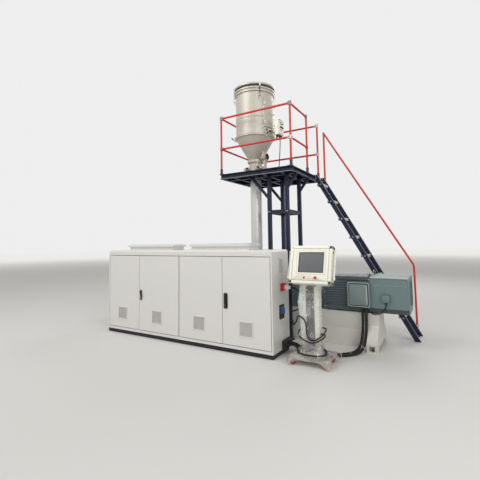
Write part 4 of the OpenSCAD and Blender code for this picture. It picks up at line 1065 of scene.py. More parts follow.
@dataclass
class Studio:
    """The pale floor, the soft light and the camera."""

    camera_at: Point = (2.946, -5.465, 1.532)
    yaw: float = 31.08
    pitch: float = 4.75
    roll: float = -0.8
    focal: float = 344.6
    centre: tuple[float, float] = (240.0, 213.7)
    image: int = 480
    floor_rgb: tuple[int, int, int] = (226, 225, 222)
    back: float = 0.86
    sky_rgb: tuple[float, float, float] = (1.0, 0.985, 0.96)
    sky_power: float = 0.46
    far_rgb: tuple[float, float, float] = (0.44, 0.44, 0.435)

    def camera(self) -> None:
        """The camera at the photograph's place and angle."""
        data = bpy.data.cameras.new("camera")
        data.sensor_width = 36.0
        data.lens = self.focal / self.image * data.sensor_width
        data.shift_x = (self.image / 2 - self.centre[0]) / self.image
        data.shift_y = (self.centre[1] - self.image / 2) / self.image
        data.clip_end = 200
        camera = bpy.data.objects.new("camera", data)
        bpy.context.scene.collection.objects.link(camera)
        camera.matrix_world = (
            move(*self.camera_at) @ turn("Z", self.yaw) @ turn("X", 90 + self.pitch)
            @ turn("Z", self.roll)
        )
        bpy.context.scene.camera = camera

    def floor(self) -> None:
        """A wide plain floor that fades into the background far out."""
        form = Form()
        bmesh.ops.create_grid(form.bm, x_segments=4, y_segments=4, size=60)
        s = Shader("studio_floor")
        x, y, _ = s.axes()
        far = (x * x + y * y).above(60, 1500)
        s.set(
            Base_Color=seen(self.floor_rgb), Roughness=0.85,
            Emission_Color=s.blend(far, (0, 0, 0, 1), (*self.far_rgb, 1)), Emission_Strength=1.0,
        )
        mesh = bpy.data.meshes.new("floor")
        form.bm.to_mesh(mesh)
        mesh.materials.append(s.material)
        floor = bpy.data.objects.new("floor", mesh)
        bpy.context.scene.collection.objects.link(floor)

    def sky(self) -> None:
        """A world that lights softly and looks pale grey to the camera."""
        world = bpy.data.worlds.new("studio")
        world.use_nodes = True
        tree = world.node_tree
        tree.nodes.clear()
        path = tree.nodes.new("ShaderNodeLightPath")
        out = tree.nodes.new("ShaderNodeOutputWorld")
        shown, light = (tree.nodes.new("ShaderNodeBackground") for _ in range(2))
        shown.inputs["Color"].default_value = (self.back, self.back, self.back, 1)
        light.inputs["Color"].default_value = (*self.sky_rgb, 1)
        light.inputs["Strength"].default_value = self.sky_power
        total = None
        for ray in ("Is Camera Ray", "Is Glossy Ray", "Is Transmission Ray"):
            add = tree.nodes.new("ShaderNodeMath")
            add.operation, add.use_clamp = "ADD", True
            tree.links.new(path.outputs[ray], add.inputs[0])
            add.inputs[1].default_value = 0
            if total:
                tree.links.new(total.outputs[0], add.inputs[1])
            total = add
        mix = tree.nodes.new("ShaderNodeMixShader")
        tree.links.new(total.outputs[0], mix.inputs[0])
        tree.links.new(light.outputs[0], mix.inputs[1])
        tree.links.new(shown.outputs[0], mix.inputs[2])
        tree.links.new(mix.outputs[0], out.inputs[0])
        bpy.context.scene.world = world

    def lamp(self, name: str, at: Point, target: Point, size: float, power: float) -> None:
        """A square soft lamp.

        Args:
            name: The lamp's name.
            at: Where it hangs.
            target: Where it shines.
            size: Its width in metres.
            power: Its power in watts.
        """
        data = bpy.data.lights.new(name, "AREA")
        data.size, data.energy = size, power
        lamp = bpy.data.objects.new(name, data)
        bpy.context.scene.collection.objects.link(lamp)
        lamp.matrix_world = move(*at) @ (Vector(target) - Vector(at)).to_track_quat(
            "-Z", "Y"
        ).to_matrix().to_4x4()

    def build(self) -> None:
        """Sets the stage."""
        self.camera()
        self.floor()
        self.sky()
        self.lamp("key", (-3.5, -7.5, 8.5), (0, 0, 1.2), 5.0, 345)
        self.lamp("fill", (7.0, -5.5, 4.6), (0.8, 0, 0.9), 4.5, 190)
        self.lamp("back", (1.0, 7.5, 7.5), (0, 0, 1.5), 5.0, 205)
        settings = bpy.context.scene.view_settings
        settings.view_transform = "Standard"


@dataclass
class Cord:
    """One cable: its route, thickness, and the fittings at its ends."""

    name: str
    node: str
    route: Sequence[Point]
    radius: float
    stiffness: str = "medium"
    lay: str = "loose"
    corrugated: bool = False
    relief_start: tuple[Point, float] | None = None
    relief_end: tuple[Point, float] | None = None
    ties: Sequence[float] = ()

    def girth(self, gone: float) -> float:
        """Radius at a length along it; a corrugated one has small rings.

        Args:
            gone: The length from its start.

        Returns:
            The radius.
        """
        if not self.corrugated:
            return self.radius
        return self.radius - 0.0009 + 0.0009 * math.cos(gone / 0.0125 * math.tau)

    def reliefs(self, path: list[Vector]) -> list[bpy.types.Object]:
        """Tapered strain reliefs, each on its nut.

        Args:
            path: The cord's middle line.

        Returns:
            The pieces.
        """
        made = []
        ends = ((self.relief_start, path), (self.relief_end, path[::-1]))
        for which, (relief, line) in zip(("start", "end"), ends):
            if relief is None:
                continue
            direction, length = relief
            form = Form()
            r = self.radius
            form.put(Form.rod(r + 0.006, 0.012, 6, 0.0012))
            form.put(Form.rod(r + 0.0042, 0.004, 24, 0.0006).at(move(0, 0, 0.012)))
            rings = 5
            step = (length - 0.016) / rings
            for k in range(rings):
                low = r + 0.0035 - 0.0028 * k / rings
                form.put(
                    Form.rod(
                        low, step * 0.68, 20, 0.0004, low - 0.0004
                    ).at(move(0, 0, 0.016 + k * step))
                )
                form.put(
                    Form.rod(low - 0.0012, step * 0.5, 16, 0).at(
                        move(0, 0, 0.016 + (k + 0.6) * step)
                    )
                )
            form.at(move(*line[0]) @ aim(direction))
            made.append(form.piece(f"{self.name}_relief_{which}", Paint.BLACK))
        return made

    def straps(self, path: list[Vector]) -> list[bpy.types.Object]:
        """Cable ties at parts of its length, each with its head and tail.

        Args:
            path: The cord's middle line.

        Returns:
            The pieces.
        """
        made = []
        frames = carried_frames(path)
        total = path_length(path)
        for n, part in enumerate(self.ties):
            gone, i = 0.0, 0
            while gone < part * total:
                gone += (path[i + 1] - path[i]).length
                i += 1
            r = self.radius
            form = Form.hoop(r - 0.0004, r + 0.0008, -0.0035, 0.0035, 24)
            form.put(Form.block(0.010, 0.009, 0.010, 0.001).at(move(r + 0.005, 0, -0.005)))
            form.put(
                Form.block(0.0012, 0.004, 0.03, 0.0004).at(
                    move(r + 0.009, 0, -0.004) @ turn("Y", 14)
                )
            )
            form.at(frames[i])
            made.append(form.piece(f"{self.name}_tie_{n}", Paint.TIE))
        return made

    def build(self) -> bpy.types.Object:
        """The cable in place of its CAD solid, with its reliefs and ties.

        Returns:
            The cable.
        """
        path = [Vector((p.x, p.y, max(p.z, self.radius + 0.001))) for p in smooth_path(self.route)]
        if self.corrugated:
            path = even_path(path, 0.0031)
        cable = Form.tube(path, self.girth, 14).piece(self.name, Paint.CABLE, smooth=60)
        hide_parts(self.node)
        pieces = self.reliefs(path) + self.straps(path)
        length = path_length(path)
        tuple(path[0])
        log.info("%s: %.2f m", self.name, length)
        return cable


def even_path(path: Sequence[Vector], step: float) -> list[Vector]:
    """The same path with evenly spaced points.

    Args:
        path: The path.
        step: About how far apart the points are.

    Returns:
        The new path.
    """
    total = path_length(path)
    count = max(2, round(total / step))
    out, i, gone = [], 0, 0.0
    for k in range(count + 1):
        want = total * k / count
        while i < len(path) - 2 and gone + (path[i + 1] - path[i]).length < want:
            gone += (path[i + 1] - path[i]).length
            i += 1
        part = (path[i + 1] - path[i]).length
        out.append(path[i].lerp(path[i + 1], min(1.0, max(0.0, (want - gone) / part))))
    return out


@dataclass
class Cables:
    """All cables of the machine."""

    plug: Sequence[Point] = (
        (1.050, -1.000, 0.905), (1.072, -1.000, 0.905), (1.100, -0.997, 0.898),
        (1.130, -0.984, 0.880), (1.158, -0.955, 0.845), (1.172, -0.920, 0.795),
        (1.168, -0.880, 0.740), (1.146, -0.838, 0.685), (1.108, -0.795, 0.630),
        (1.062, -0.755, 0.583), (1.012, -0.722, 0.550), (0.962, -0.702, 0.530),
        (0.912, -0.694, 0.520), (0.880, -0.706, 0.516), (0.866, -0.736, 0.515),
        (0.866, -0.770, 0.515),
    )
    panel: Sequence[Point] = (
        (0.866, -0.770, 0.420), (0.866, -0.738, 0.420), (0.880, -0.708, 0.418),
        (0.912, -0.697, 0.408), (0.948, -0.715, 0.388), (0.975, -0.765, 0.364),
        (1.000, -0.830, 0.362), (1.045, -0.890, 0.392), (1.095, -0.945, 0.440),
        (1.140, -1.020, 0.500), (1.180, -1.095, 0.545), (1.215, -1.160, 0.566),
        (1.255, -1.212, 0.576), (1.300, -1.236, 0.565), (1.335, -1.240, 0.530),
        (1.350, -1.240, 0.460), (1.352, -1.240, 0.385), (1.370, -1.240, 0.330),
        (1.410, -1.242, 0.303), (1.465, -1.244, 0.312), (1.520, -1.240, 0.345),
        (1.555, -1.205, 0.378), (1.562, -1.140, 0.405), (1.550, -1.075, 0.420),
        (1.500, -1.050, 0.425), (1.400, -1.048, 0.425), (1.300, -1.050, 0.415),
        (1.245, -1.075, 0.402), (1.222, -1.130, 0.390), (1.225, -1.195, 0.368),
        (1.255, -1.246, 0.338), (1.310, -1.264, 0.308), (1.375, -1.270, 0.284),
        (1.440, -1.270, 0.280), (1.505, -1.262, 0.305), (1.560, -1.232, 0.340),
        (1.572, -1.185, 0.362), (1.545, -1.150, 0.368), (1.510, -1.150, 0.368),
    )
    power: Sequence[Point] = (
        (0.990, -0.990, 0.125), (1.012, -0.990, 0.125), (1.044, -1.003, 0.134),
        (1.085, -1.028, 0.142), (1.130, -1.065, 0.140), (1.175, -1.120, 0.134),
        (1.210, -1.190, 0.133), (1.245, -1.255, 0.133), (1.305, -1.290, 0.133),
        (1.380, -1.298, 0.133), (1.455, -1.288, 0.133), (1.525, -1.265, 0.133),
        (1.562, -1.215, 0.133), (1.572, -1.160, 0.135), (1.560, -1.120, 0.148),
        (1.536, -1.100, 0.170), (1.510, -1.100, 0.170),
    )
    conduit_a: Sequence[Point] = (
        (0.990, -0.930, 0.125), (1.060, -0.930, 0.125), (1.120, -0.918, 0.095),
        (1.180, -0.888, 0.042), (1.270, -0.860, 0.021), (1.370, -0.850, 0.021),
        (1.480, -0.838, 0.021), (1.590, -0.800, 0.021), (1.680, -0.740, 0.021),
        (1.755, -0.665, 0.021), (1.812, -0.580, 0.024), (1.848, -0.495, 0.044),
        (1.868, -0.415, 0.092), (1.878, -0.350, 0.170), (1.883, -0.305, 0.280),
        (1.885, -0.287, 0.400), (1.885, -0.285, 0.500), (1.885, -0.285, 0.583),
    )
    conduit_b: Sequence[Point] = (
        (0.990, -0.884, 0.125), (1.050, -0.884, 0.125), (1.106, -0.872, 0.098),
        (1.164, -0.842, 0.045), (1.255, -0.814, 0.021), (1.355, -0.804, 0.021),
        (1.462, -0.792, 0.021), (1.564, -0.757, 0.021), (1.646, -0.702, 0.021),
        (1.714, -0.634, 0.021), (1.767, -0.555, 0.026), (1.801, -0.478, 0.048),
        (1.822, -0.405, 0.098), (1.832, -0.345, 0.178), (1.837, -0.303, 0.290),
        (1.840, -0.286, 0.410), (1.840, -0.285, 0.505), (1.840, -0.285, 0.583),
    )
    junction: Sequence[Point] = (
        (2.155, -0.272, 0.675), (2.155, -0.272, 0.640), (2.146, -0.275, 0.598),
        (2.122, -0.279, 0.556), (2.085, -0.283, 0.522), (2.035, -0.286, 0.504),
        (1.990, -0.287, 0.502), (1.956, -0.286, 0.516), (1.934, -0.285, 0.542),
        (1.930, -0.285, 0.562), (1.930, -0.285, 0.583),
    )
    dryer: Sequence[Point] = (
        (0.490, 0.020, 3.400), (0.490, 0.020, 3.350), (0.487, 0.022, 3.260), (0.480, 0.026, 3.170),
        (0.470, 0.032, 3.060), (0.456, 0.042, 2.950), (0.440, 0.054, 2.860), (0.416, 0.068, 2.790),
        (0.386, 0.076, 2.746), (0.348, 0.072, 2.729), (0.304, 0.052, 2.729), (0.272, 0.026, 2.731),
        (0.248, -0.004, 2.750), (0.234, -0.024, 2.788), (0.230, -0.028, 2.840),
        (0.230, -0.028, 2.890), (0.230, -0.028, 2.950),
    )

    def near_panel(self) -> list[tuple[Sequence[Point], float]]:
        """Routes and radii of the cords that pass the operator panel."""
        return [(self.plug, 0.009), (self.panel, 0.009), (self.power, 0.01), (self.conduit_a, 0.02)]

    def build(self) -> None:
        """Lays every cable."""
        x = (1, 0, 0)
        down = (0, 0, -1)
        back = (0, 1, 0)
        Cord("lead_of_plug", "plug_cable", self.plug, 0.009,
             relief_start=(x, 0.045), relief_end=(back, 0.04)).build()
        Cord("lead_of_panel", "panel_cable", self.panel, 0.009, "limp",
             relief_start=(back, 0.04), relief_end=(x, 0.035), ties=(0.62, 0.80)).build()
        Cord("lead_of_power", "panel_cable", self.power, 0.010,
             relief_start=(x, 0.03), relief_end=(x, 0.03), ties=(0.72,)).build()
        Cord("conduit_front", "floor_conduits", self.conduit_a, 0.020, "stiff",
             corrugated=True, ties=(0.24, 0.42, 0.66)).build()
        Cord("conduit_rear", "floor_conduits", self.conduit_b, 0.020, "stiff",
             corrugated=True, ties=(0.30, 0.52)).build()
        Cord("lead_of_junction", "junction_cable", self.junction, 0.007,
             relief_start=(down, 0.035)).build()
        Cord("lead_of_dryer", "dryer_cable", self.dryer, 0.007,
             relief_start=(down, 0.04), relief_end=(down, 0.03), ties=(0.3,)).build()


@dataclass
class CadFinishes:
    """The finishes on the CAD solids, and softened edges where light would catch them."""

    by_slot: dict[str, Paint] = field(default_factory=lambda: {p.value.name: p for p in Paint})
    own: dict[str, Paint] = field(
        default_factory=lambda: {
            "deck_plate": Paint.DECK,
            "panel_castors": Paint.CASTOR,
            "motor_frame": Paint.FRAME,
        }
    )
    softened: dict[str, float] = field(
        default_factory=lambda: {
            "extruder_bed": 0.006, "end_foot": 0.005, "gearbox": 0.004, "motor_frame": 0.002,
            "panel_base": 0.004, "cabinet_plinth": 0.003, "tower_columns": 0.004,
            "dryer_control_box": 0.004, "panel_box": 0.0015, "door_1": 0.0015, "door_2": 0.0015,
            "door_3": 0.0015, "door_4": 0.0015, "terminal_box": 0.003, "feed_throat": 0.004,
        }
    )

    def dress(self) -> None:
        """Gives every CAD solid its finish."""
        slots = {s["node"]: s["material_slot"] for s in frame["record"]["subparts"]}
        for node, solid in frame["nodes"].items():
            paint = self.own.get(node, self.by_slot[slots[node]])
            for slot in solid.material_slots:
                slot.material = paint.material()
            width = self.softened.get(node)
            if width:
                weld = solid.modifiers.new("weld", "WELD")
                weld.merge_threshold = 0.00002
                bevel = solid.modifiers.new("edges", "BEVEL")
                bevel.width, bevel.segments = width, 2
                bevel.limit_method, bevel.angle_limit = "ANGLE", math.radians(40)
                bevel.harden_normals = False
            log.info("%s: %s", node, paint.value.name)


# Trim of the cabinet


@dataclass
class CabinetTrim:
    """Grilles, hinge knuckles, lock parts, screws and seams of the long cabinet."""

    x0: float = -2.330
    x1: float = 0.920
    front: float = -1.310
    back: float = -0.770
    lefts: tuple[float, ...] = (-2.302, -1.553, -0.677, 0.130)
    rights: tuple[float, ...] = (-1.561, -0.693, 0.122, 0.892)
    grille_at: tuple[float, ...] = (0.244, 0.298, 0.275, 0.275)
    hinged_left: tuple[bool, ...] = (True, False, True, False)
    slats: int = 13

    def grille(self, n: int) -> None:
        """Slats, backing and rim screws of one door's grille, which swing with it.

        Args:
            n: The door's number from the left, from 0.
        """
        x = self.lefts[n] + self.grille_at[n]
        lo, hi, step = 0.2525, 0.4375, 0.185 / self.slats
        slat = Form.block(0.1976, 0.011, 0.0014, 0.0004, 1).at(turn("X", -38))
        rows = [
            move(x + 0.111, self.front - 0.0048, lo + (k + 0.5) * step) for k in range(self.slats)
        ]
        body = f"door_{n + 1}"
        slat.spread(rows).piece(f"grille_slats_{n + 1}", Paint.SLAT, body)
        back = Form.span(
            (x + 0.0122, self.front - 0.0012, lo), (x + 0.2098, self.front - 0.0004, hi), 0.0002, 1
        )
        back.piece(f"grille_gauze_{n + 1}", Paint.GAUZE, body)
        corners = [(x + a, z) for a in (0.006, 0.216) for z in (0.246, 0.444)]
        places = [move(a, self.front - 0.0099, z) @ FRONT for a, z in corners]
        Form.screw(0.0036).spread(places).piece(f"grille_screws_{n + 1}", Paint.BOLT, body)

    def hinges(self, n: int) -> None:
        """Three slim hinge knuckles along the door's hinged edge.

        Args:
            n: The door's number from the left, from 0.
        """
        edge = self.lefts[n] if self.hinged_left[n] else self.rights[n]
        side = 1 if self.hinged_left[n] else -1
        body = f"door_{n + 1}"
        knuckle = Form.rod(0.0042, 0.060, 12, 0.0008)
        knuckle.put(Form.block(0.010, 0.0016, 0.060, 0.0005, 1), [move(side * 0.006, 0.003, 0)])
        places = [move(edge + side * 0.005, self.front - 0.0034, z) for z in (0.190, 0.690, 1.190)]
        knuckle.spread(places).piece(f"hinge_knuckles_{n + 1}", Paint.CABINET, body)

    def lever_lock(self) -> None:
        """Key barrel, key slot, pivot cap and screws of the lever handle of door 2."""
        x = -1.512
        barrel = Form.lathe(
            [(0, 0), (0.0078, 0), (0.0078, 0.0012), (0.0066, 0.0022), (0, 0.0022)], 24
        )
        parts = barrel.spread([move(x, self.front - 0.0079, 0.612) @ FRONT])
        parts.put(
            Form.screw(0.0034), [move(x, self.front - 0.0059, z) @ FRONT for z in (0.604, 0.757)]
        )
        parts.piece("lever_lock_barrel", Paint.BOLT, "door_2")
        # a dark block in the keyway: painted shade
        slot = Form.block(0.0016, 0.0008, 0.009, 0.0002, 1).at(move(x, self.front - 0.0104, 0.6075))
        slot.piece("lever_lock_slot", Paint.RUBBER, "door_2")
        cap = Form.lathe([(0, 0), (0.0095, 0), (0.0095, 0.0014), (0.007, 0.003), (0, 0.0034)], 24)
        cap.at(
            move(x, self.front - 0.0259, 0.735) @ FRONT
        ).piece("lever_pivot_cap", Paint.BLACK, "door_2")

    def bar_lock(self) -> None:
        """Key barrel and screws of the bar handle of door 4."""
        x = 0.185
        parts = Form.screw(0.0036).spread(
            [move(x, self.front - 0.0099, z) @ FRONT for z in (0.609, 0.807)]
        )
        ring = Form.lathe([(0, 0), (0.0068, 0), (0.0068, 0.0012), (0.005, 0.002), (0, 0.002)], 20)
        parts.put(ring, [move(x, self.front - 0.0299, 0.652) @ FRONT])
        parts.piece("bar_lock_barrel", Paint.BOLT, "door_4")
        # a dark block in the keyway: painted shade
        slot = Form.block(0.0014, 0.0008, 0.007, 0.0002, 1)
        slot.at(move(x, self.front - 0.0322, 0.6485)).piece("bar_lock_slot", Paint.RUBBER, "door_4")

    def frame_screws(self) -> None:
        """Screws along the roof's fascia, the plinth, the side and the back panels."""
        screw = Form.screw(0.005)
        places = []
        for k in range(7):
            x = self.x0 + 0.06 + k * (self.x1 - self.x0 - 0.12) / 6
            places += [
                move(x, self.front + SINK, 1.352) @ FRONT, move(x, self.back - SINK, 1.352) @ REAR
            ]
        for z in (0.135, 0.55, 0.97, 1.30):
            places += [move(self.x1 - SINK, y, z) @ RIGHT for y in (-1.288, -0.792)]
            places += [move(self.x0 + SINK, y, z) @ LEFT for y in (-1.288, -0.792)]
        screw.spread(places).piece("panel_screws", Paint.BOLT)
        rows = [
            move(self.x0 + 0.045 + k * (self.x1 - self.x0 - 0.09) / 9, self.back - SINK, z) @ REAR
            for k in range(10)
            for z in (0.13, 1.3)
        ]
        screw.spread(rows).piece("back_panel_screws", Paint.BOLT)

    def back_seams(self) -> None:
        """The back wall's joints: folded cover strips over the panel seams."""
        form = Form()
        for x in (-1.518, -0.705, 0.108):
            strip = Form.span(
                (x - 0.016, self.back - 0.0004, 0.105),
                (x + 0.016, self.back + 0.0022, 1.33),
                0.0008,
                1,
            )
            form.put(strip)
        form.piece("back_seam_strips", Paint.CABINET)

    def build(self) -> None:
        """Dresses the whole cabinet."""
        for n in range(4):
            self.grille(n)
            self.hinges(n)
        self.lever_lock()
        self.bar_lock()
        self.frame_screws()
        self.back_seams()


@dataclass
class SideFittings:
    """Socket, isolator, vent and gland box on the cabinet's right side."""

    wall: float = 0.920
    socket: tuple[float, float] = (-1.000, 0.905)
    isolator: tuple[float, float] = (-1.035, 0.575)

    def socket_parts(self) -> None:
        """Flange screws, the lid's hinge pin, and the plug's grip ribs and clamp ring."""
        y, z = self.socket
        screws = [
            move(self.wall + 0.0139, y + a, z + b) @ RIGHT
            for a in (-0.044, 0.044)
            for b in (-0.044, 0.044)
        ]
        Form.screw(0.004).spread(screws).piece("socket_screws", Paint.BOLT)
        pin = Form.rod(0.0028, 0.04, 12, 0.0006).at(
            move(self.wall + 0.05, y - 0.02, z + 0.052) @ REAR
        )
        pin.piece("socket_lid_pin", Paint.BOLT)
        ribs = [turn("Z", 15 * k) @ move(0.0377, 0, 0.002) for k in range(24)]
        rib = Form.block(0.0016, 0.0034, 0.016, 0.0005, 1)
        rib.spread(ribs).at(move(self.wall + 0.0605, y, z) @ RIGHT).piece("plug_grip", Paint.PLUG)
        collar = Form.lathe(
            [(0.0202, 0), (0.0222, 0.001), (0.0222, 0.012), (0.0202, 0.013)], 32, ring=True
        )
        collar.at(move(self.wall + 0.108, y, z) @ RIGHT).piece("plug_clamp_ring", Paint.PLUG)

    def isolator_parts(self) -> None:
        """Plate screws, the scale's plain marks, and a light pointer line on the knob."""
        y, z = self.isolator
        corners = [
            move(self.wall + 0.0119, y + a, z + b) @ RIGHT
            for a in (-0.058, 0.058)
            for b in (-0.083, 0.083)
        ]
        Form.screw(0.004).spread(corners).piece("isolator_screws", Paint.BOLT)
        ring = Form.lathe(
            [(0.038, 0), (0.0455, 0), (0.0455, 0.0012), (0.038, 0.0016)], 48, ring=True
        )
        ring.at(move(self.wall + 0.0118, y, z + 0.02) @ RIGHT).piece("isolator_scale", Paint.GREY)
        marks = [turn("X", 30 * k) @ move(0, 0, 0.0405) for k in range(0, 12, 3)]
        form = Form.block(0.0006, 0.0018, 0.0044, 0.0002, 1).spread(marks)
        form.at(move(self.wall + 0.0136, y, z + 0.020)).piece("isolator_marks", Paint.RUBBER)
        pointer = Form.block(0.0012, 0.0022, 0.020, 0.0003, 1)
        pointer.at(move(self.wall + 0.0534, y, z + 0.026)).piece(
            "isolator_pointer", Paint.PLUG, "isolator_knob"
        )

    def vent_parts(self) -> None:
        """Blades behind the vent's slots, and its screws."""
        blade = Form.block(0.006, 0.126, 0.0012, 0.0003, 1).at(turn("Y", 30))
        rows = [move(self.wall + 0.0052, -1.040, 1.107 + k * 0.0165) for k in range(12)]
        blade.spread(rows).piece("side_vent_blades", Paint.SLAT)
        corners = [
            move(self.wall + 0.0079, y, z) @ RIGHT for y in (-1.111, -0.969) for z in (1.094, 1.302)
        ]
        Form.screw(0.0034).spread(corners).piece("side_vent_screws", Paint.BOLT)

    def gland_parts(self) -> None:
        """Hexagon lock nuts behind the gland rings, and the cover's screws and gasket."""
        nuts = Form()
        glands = ((-0.930, 0.02537, 0.007), (-0.990, 0.01505, 0.007), (-0.884, 0.0222, 0.0066))
        for y, r, thick in glands:
            nuts.put(Form.rod(r, thick, 6, 0.0008), [move(self.wall + 0.0465, y, 0.125) @ RIGHT])
        nuts.piece("gland_lock_nuts", Paint.BLACK)
        spots = [(-1.028, 0.084), (-1.028, 0.170), (-0.792, 0.084), (-0.792, 0.170)]
        places = [move(self.wall + 0.0459, y, z) @ RIGHT for y, z in spots]
        Form.screw(0.0036).spread(places).piece("gland_box_screws", Paint.BOLT)
        lid = Form.span(
            (self.wall + 0.0005, -1.0415, 0.07), (self.wall + 0.0025, -0.7785, 0.184), 0.0008, 1
        )
        lid.piece("gland_box_gasket", Paint.RUBBER)

    def build(self) -> None:
        """Adds the small parts of every fitting."""
        self.socket_parts()
        self.isolator_parts()
        self.vent_parts()
        self.gland_parts()


# Trim of the extruder


@dataclass
class ExtruderTrim:
    """Bolts, bands, terminal covers and guards of the gearbox, barrel and bed."""

    screw_z: float = 1.000
    zone_starts: tuple[float, ...] = (-0.635, -1.115, -1.595, -2.075, -2.555)
    zone_length: float = 0.400
    zone_r: float = 0.150
    bearings: tuple[float, float] = (0.310, 0.990)
    case_side: float = -0.1799
    case_top: float = 1.2909

    def gearbox_bolts(self) -> None:
        """Bolts along the parting flange, on the bearing caps and on the feet."""
        bolt = Form.bolt(0.0115)
        places = []
        for k in range(9):
            x = 0.262 + k * 0.097
            places += [move(x, y, 1.0439) for y in (-0.1925, 0.1925)]
        caps = [outward(x, y, 0.910) for x in self.bearings for y in (-0.1919, 0.1919)]
        places += [cap @ p for cap in caps for p in around(6, 0.046, 30)]
        places += [move(0.255 + k * 0.1975, y, 0.5299) for k in range(5) for y in (-0.1935, 0.1935)]
        bolt.spread(places).piece("gearbox_bolts", Paint.BOLT)
        disc = Form.lathe([(0, 0), (0.032, 0), (0.032, 0.003), (0.026, 0.006), (0, 0.007)], 32)
        disc.spread(caps).piece("bearing_cap_covers", Paint.MOTOR)

    def gearbox_fittings(self) -> None:
        """Breather, inspection cover, oil glass, drain plug and two lifting eyes."""
        cover = Form.span((0.415, -0.100, 1.2859), (0.685, 0.100, 1.2910), 0.002)
        cover.piece("inspection_cover", Paint.MOTOR)
        spots = [move(0.43 + a * 0.08, b, self.case_top) for a in range(4) for b in (-0.088, 0.088)]
        Form.bolt(0.006).spread(spots).piece("inspection_cover_screws", Paint.BOLT)
        breather = Form.lathe(
            [
                (0, 0), (0.011, 0), (0.011, 0.014), (0.019, 0.016), (0.019, 0.034), (0.013, 0.042),
                (0, 0.043),
            ],
            32,
        )
        breather.at(move(0.600, 0.030, self.case_top)).piece("breather", Paint.BRASS)
        bezel = Form.lathe(
            [(0.019, 0), (0.027, 0), (0.027, 0.007), (0.023, 0.01), (0.019, 0.008)], 36, ring=True
        )
        bezel.at(move(0.65, self.case_side, 0.72) @ FRONT).piece("oil_glass_bezel", Paint.BRASS)
        glass = Form.lathe([(0, 0), (0.0188, 0), (0.0188, 0.006), (0, 0.0066)], 32)
        glass.at(move(0.65, self.case_side, 0.72) @ FRONT).piece("oil_glass", Paint.GLASS)
        plug = Form.bolt(0.016).at(move(0.56, self.case_side, 0.575) @ FRONT)
        plug.piece("drain_plug", Paint.BRASS)
        eye = Form.lathe(
            [(0, 0), (0.018, 0), (0.018, 0.007), (0.009, 0.011), (0.009, 0.02), (0, 0.02)], 24
        )
        eye.put(Form.torus(0.012, 0.005, 24), [move(0, 0, 0.034) @ FRONT])
        eye.spread([move(0.35, 0, 1.2729), move(0.78, 0, 1.2729)]).piece("gearbox_eyes", Paint.BOLT)

    def heating_bands(self) -> None:
        """Clamping bands with their screws round each zone, and its terminal cover and sensor."""
        r = self.zone_r
        bands, covers, screws, leads = Form(), Form(), Form(), Form()
        band = Form.hoop(r - 0.0002, r + 0.0022, 0, 0.024, 64)
        lug = Form.block(0.020, 0.014, 0.024, 0.002)
        for start in self.zone_starts:
            for x in (start + 0.020, start + 0.125, start + 0.250, start + 0.356):
                bands.put(band, [move(x, 0, self.screw_z) @ RIGHT])
                bands.put(
                    lug, [move(x + 0.012, y, self.screw_z + r + 0.001) for y in (-0.016, 0.016)]
                )
                screws.put(
                    Form.bolt(0.0055, False),
                    [move(x + 0.012, -0.0229, self.screw_z + r + 0.012) @ FRONT],
                )
            centre = start + self.zone_length / 2
            cover = Form.block(0.120, 0.060, 0.046, 0.005)
            covers.put(cover, [move(centre, 0, self.screw_z + r - 0.006)])
            leads.put(
                Form.rod(0.006, 0.026, 12, 0.001),
                [move(centre - 0.15, 0, self.screw_z + r - 0.001)],
            )
            leads.put(
                Form.rod(0.0085, 0.01, 6, 0.001), [move(centre - 0.15, 0, self.screw_z + r + 0.003)]
            )
        bands.piece("heating_bands", Paint.STAINLESS)
        covers.piece("heater_terminal_covers", Paint.GALVANISED)
        screws.piece("heating_band_screws", Paint.BOLT)
        leads.piece("zone_sensors", Paint.BRASS)

    def blower_guards(self) -> None:
        """Inlet guards on the zone blowers: rings of wire on crossed spokes within a rim, over dark
        discs of painted shade in the openings.
        """
        guard = wire_rings((0.022, 0.036, 0.050, 0.064), 0.0012, 0.001, 0.0034, 32)
        guard.put(Form.block(0.132, 0.003, 0.0022, 0.0006, 1), [turn("Z", 45), turn("Z", -45)])
        guard.put(Form.hoop(0.068, 0.08, 0, 0.004, 40))
        # a dark disc in each opening: painted shade
        dark = Form.hoop(0, 0.068, 0, 0.0008, 40)
        middles = [start + self.zone_length / 2 for start in self.zone_starts]
        inlets = [outward(x, y, 0.625) for x in middles for y in (-0.0599, 0.0599)]
        guard.spread(inlets).piece("blower_guards", Paint.BLACK)
        dark.spread(inlets).piece("blower_openings", Paint.RUBBER)

    def flange_bolts(self) -> None:
        """Bolts of the barrel's rear flange and of the feed throat."""
        bolt = Form.bolt(0.011)
        ring = [move(-0.1651, 0, self.screw_z) @ LEFT @ p for p in around(8, 0.106, 22.5)]
        ring += [move(0, 0, 1.1599) @ p for p in around(8, 0.118)]
        ring += [move(0.1979, 0, self.screw_z) @ RIGHT @ p for p in around(12, 0.152, 15)]
        bolt.spread(ring).piece("throat_bolts", Paint.BOLT)
        water = Form.lathe(
            [(0, 0), (0.012, 0), (0.012, 0.01), (0.008, 0.012), (0.008, 0.03), (0, 0.03)], 20
        )
        spots = [move(x, -0.1249, 0.93) @ FRONT for x in (-0.06, 0.06)]
        water.spread(spots).piece("throat_water_nipples", Paint.BRASS)

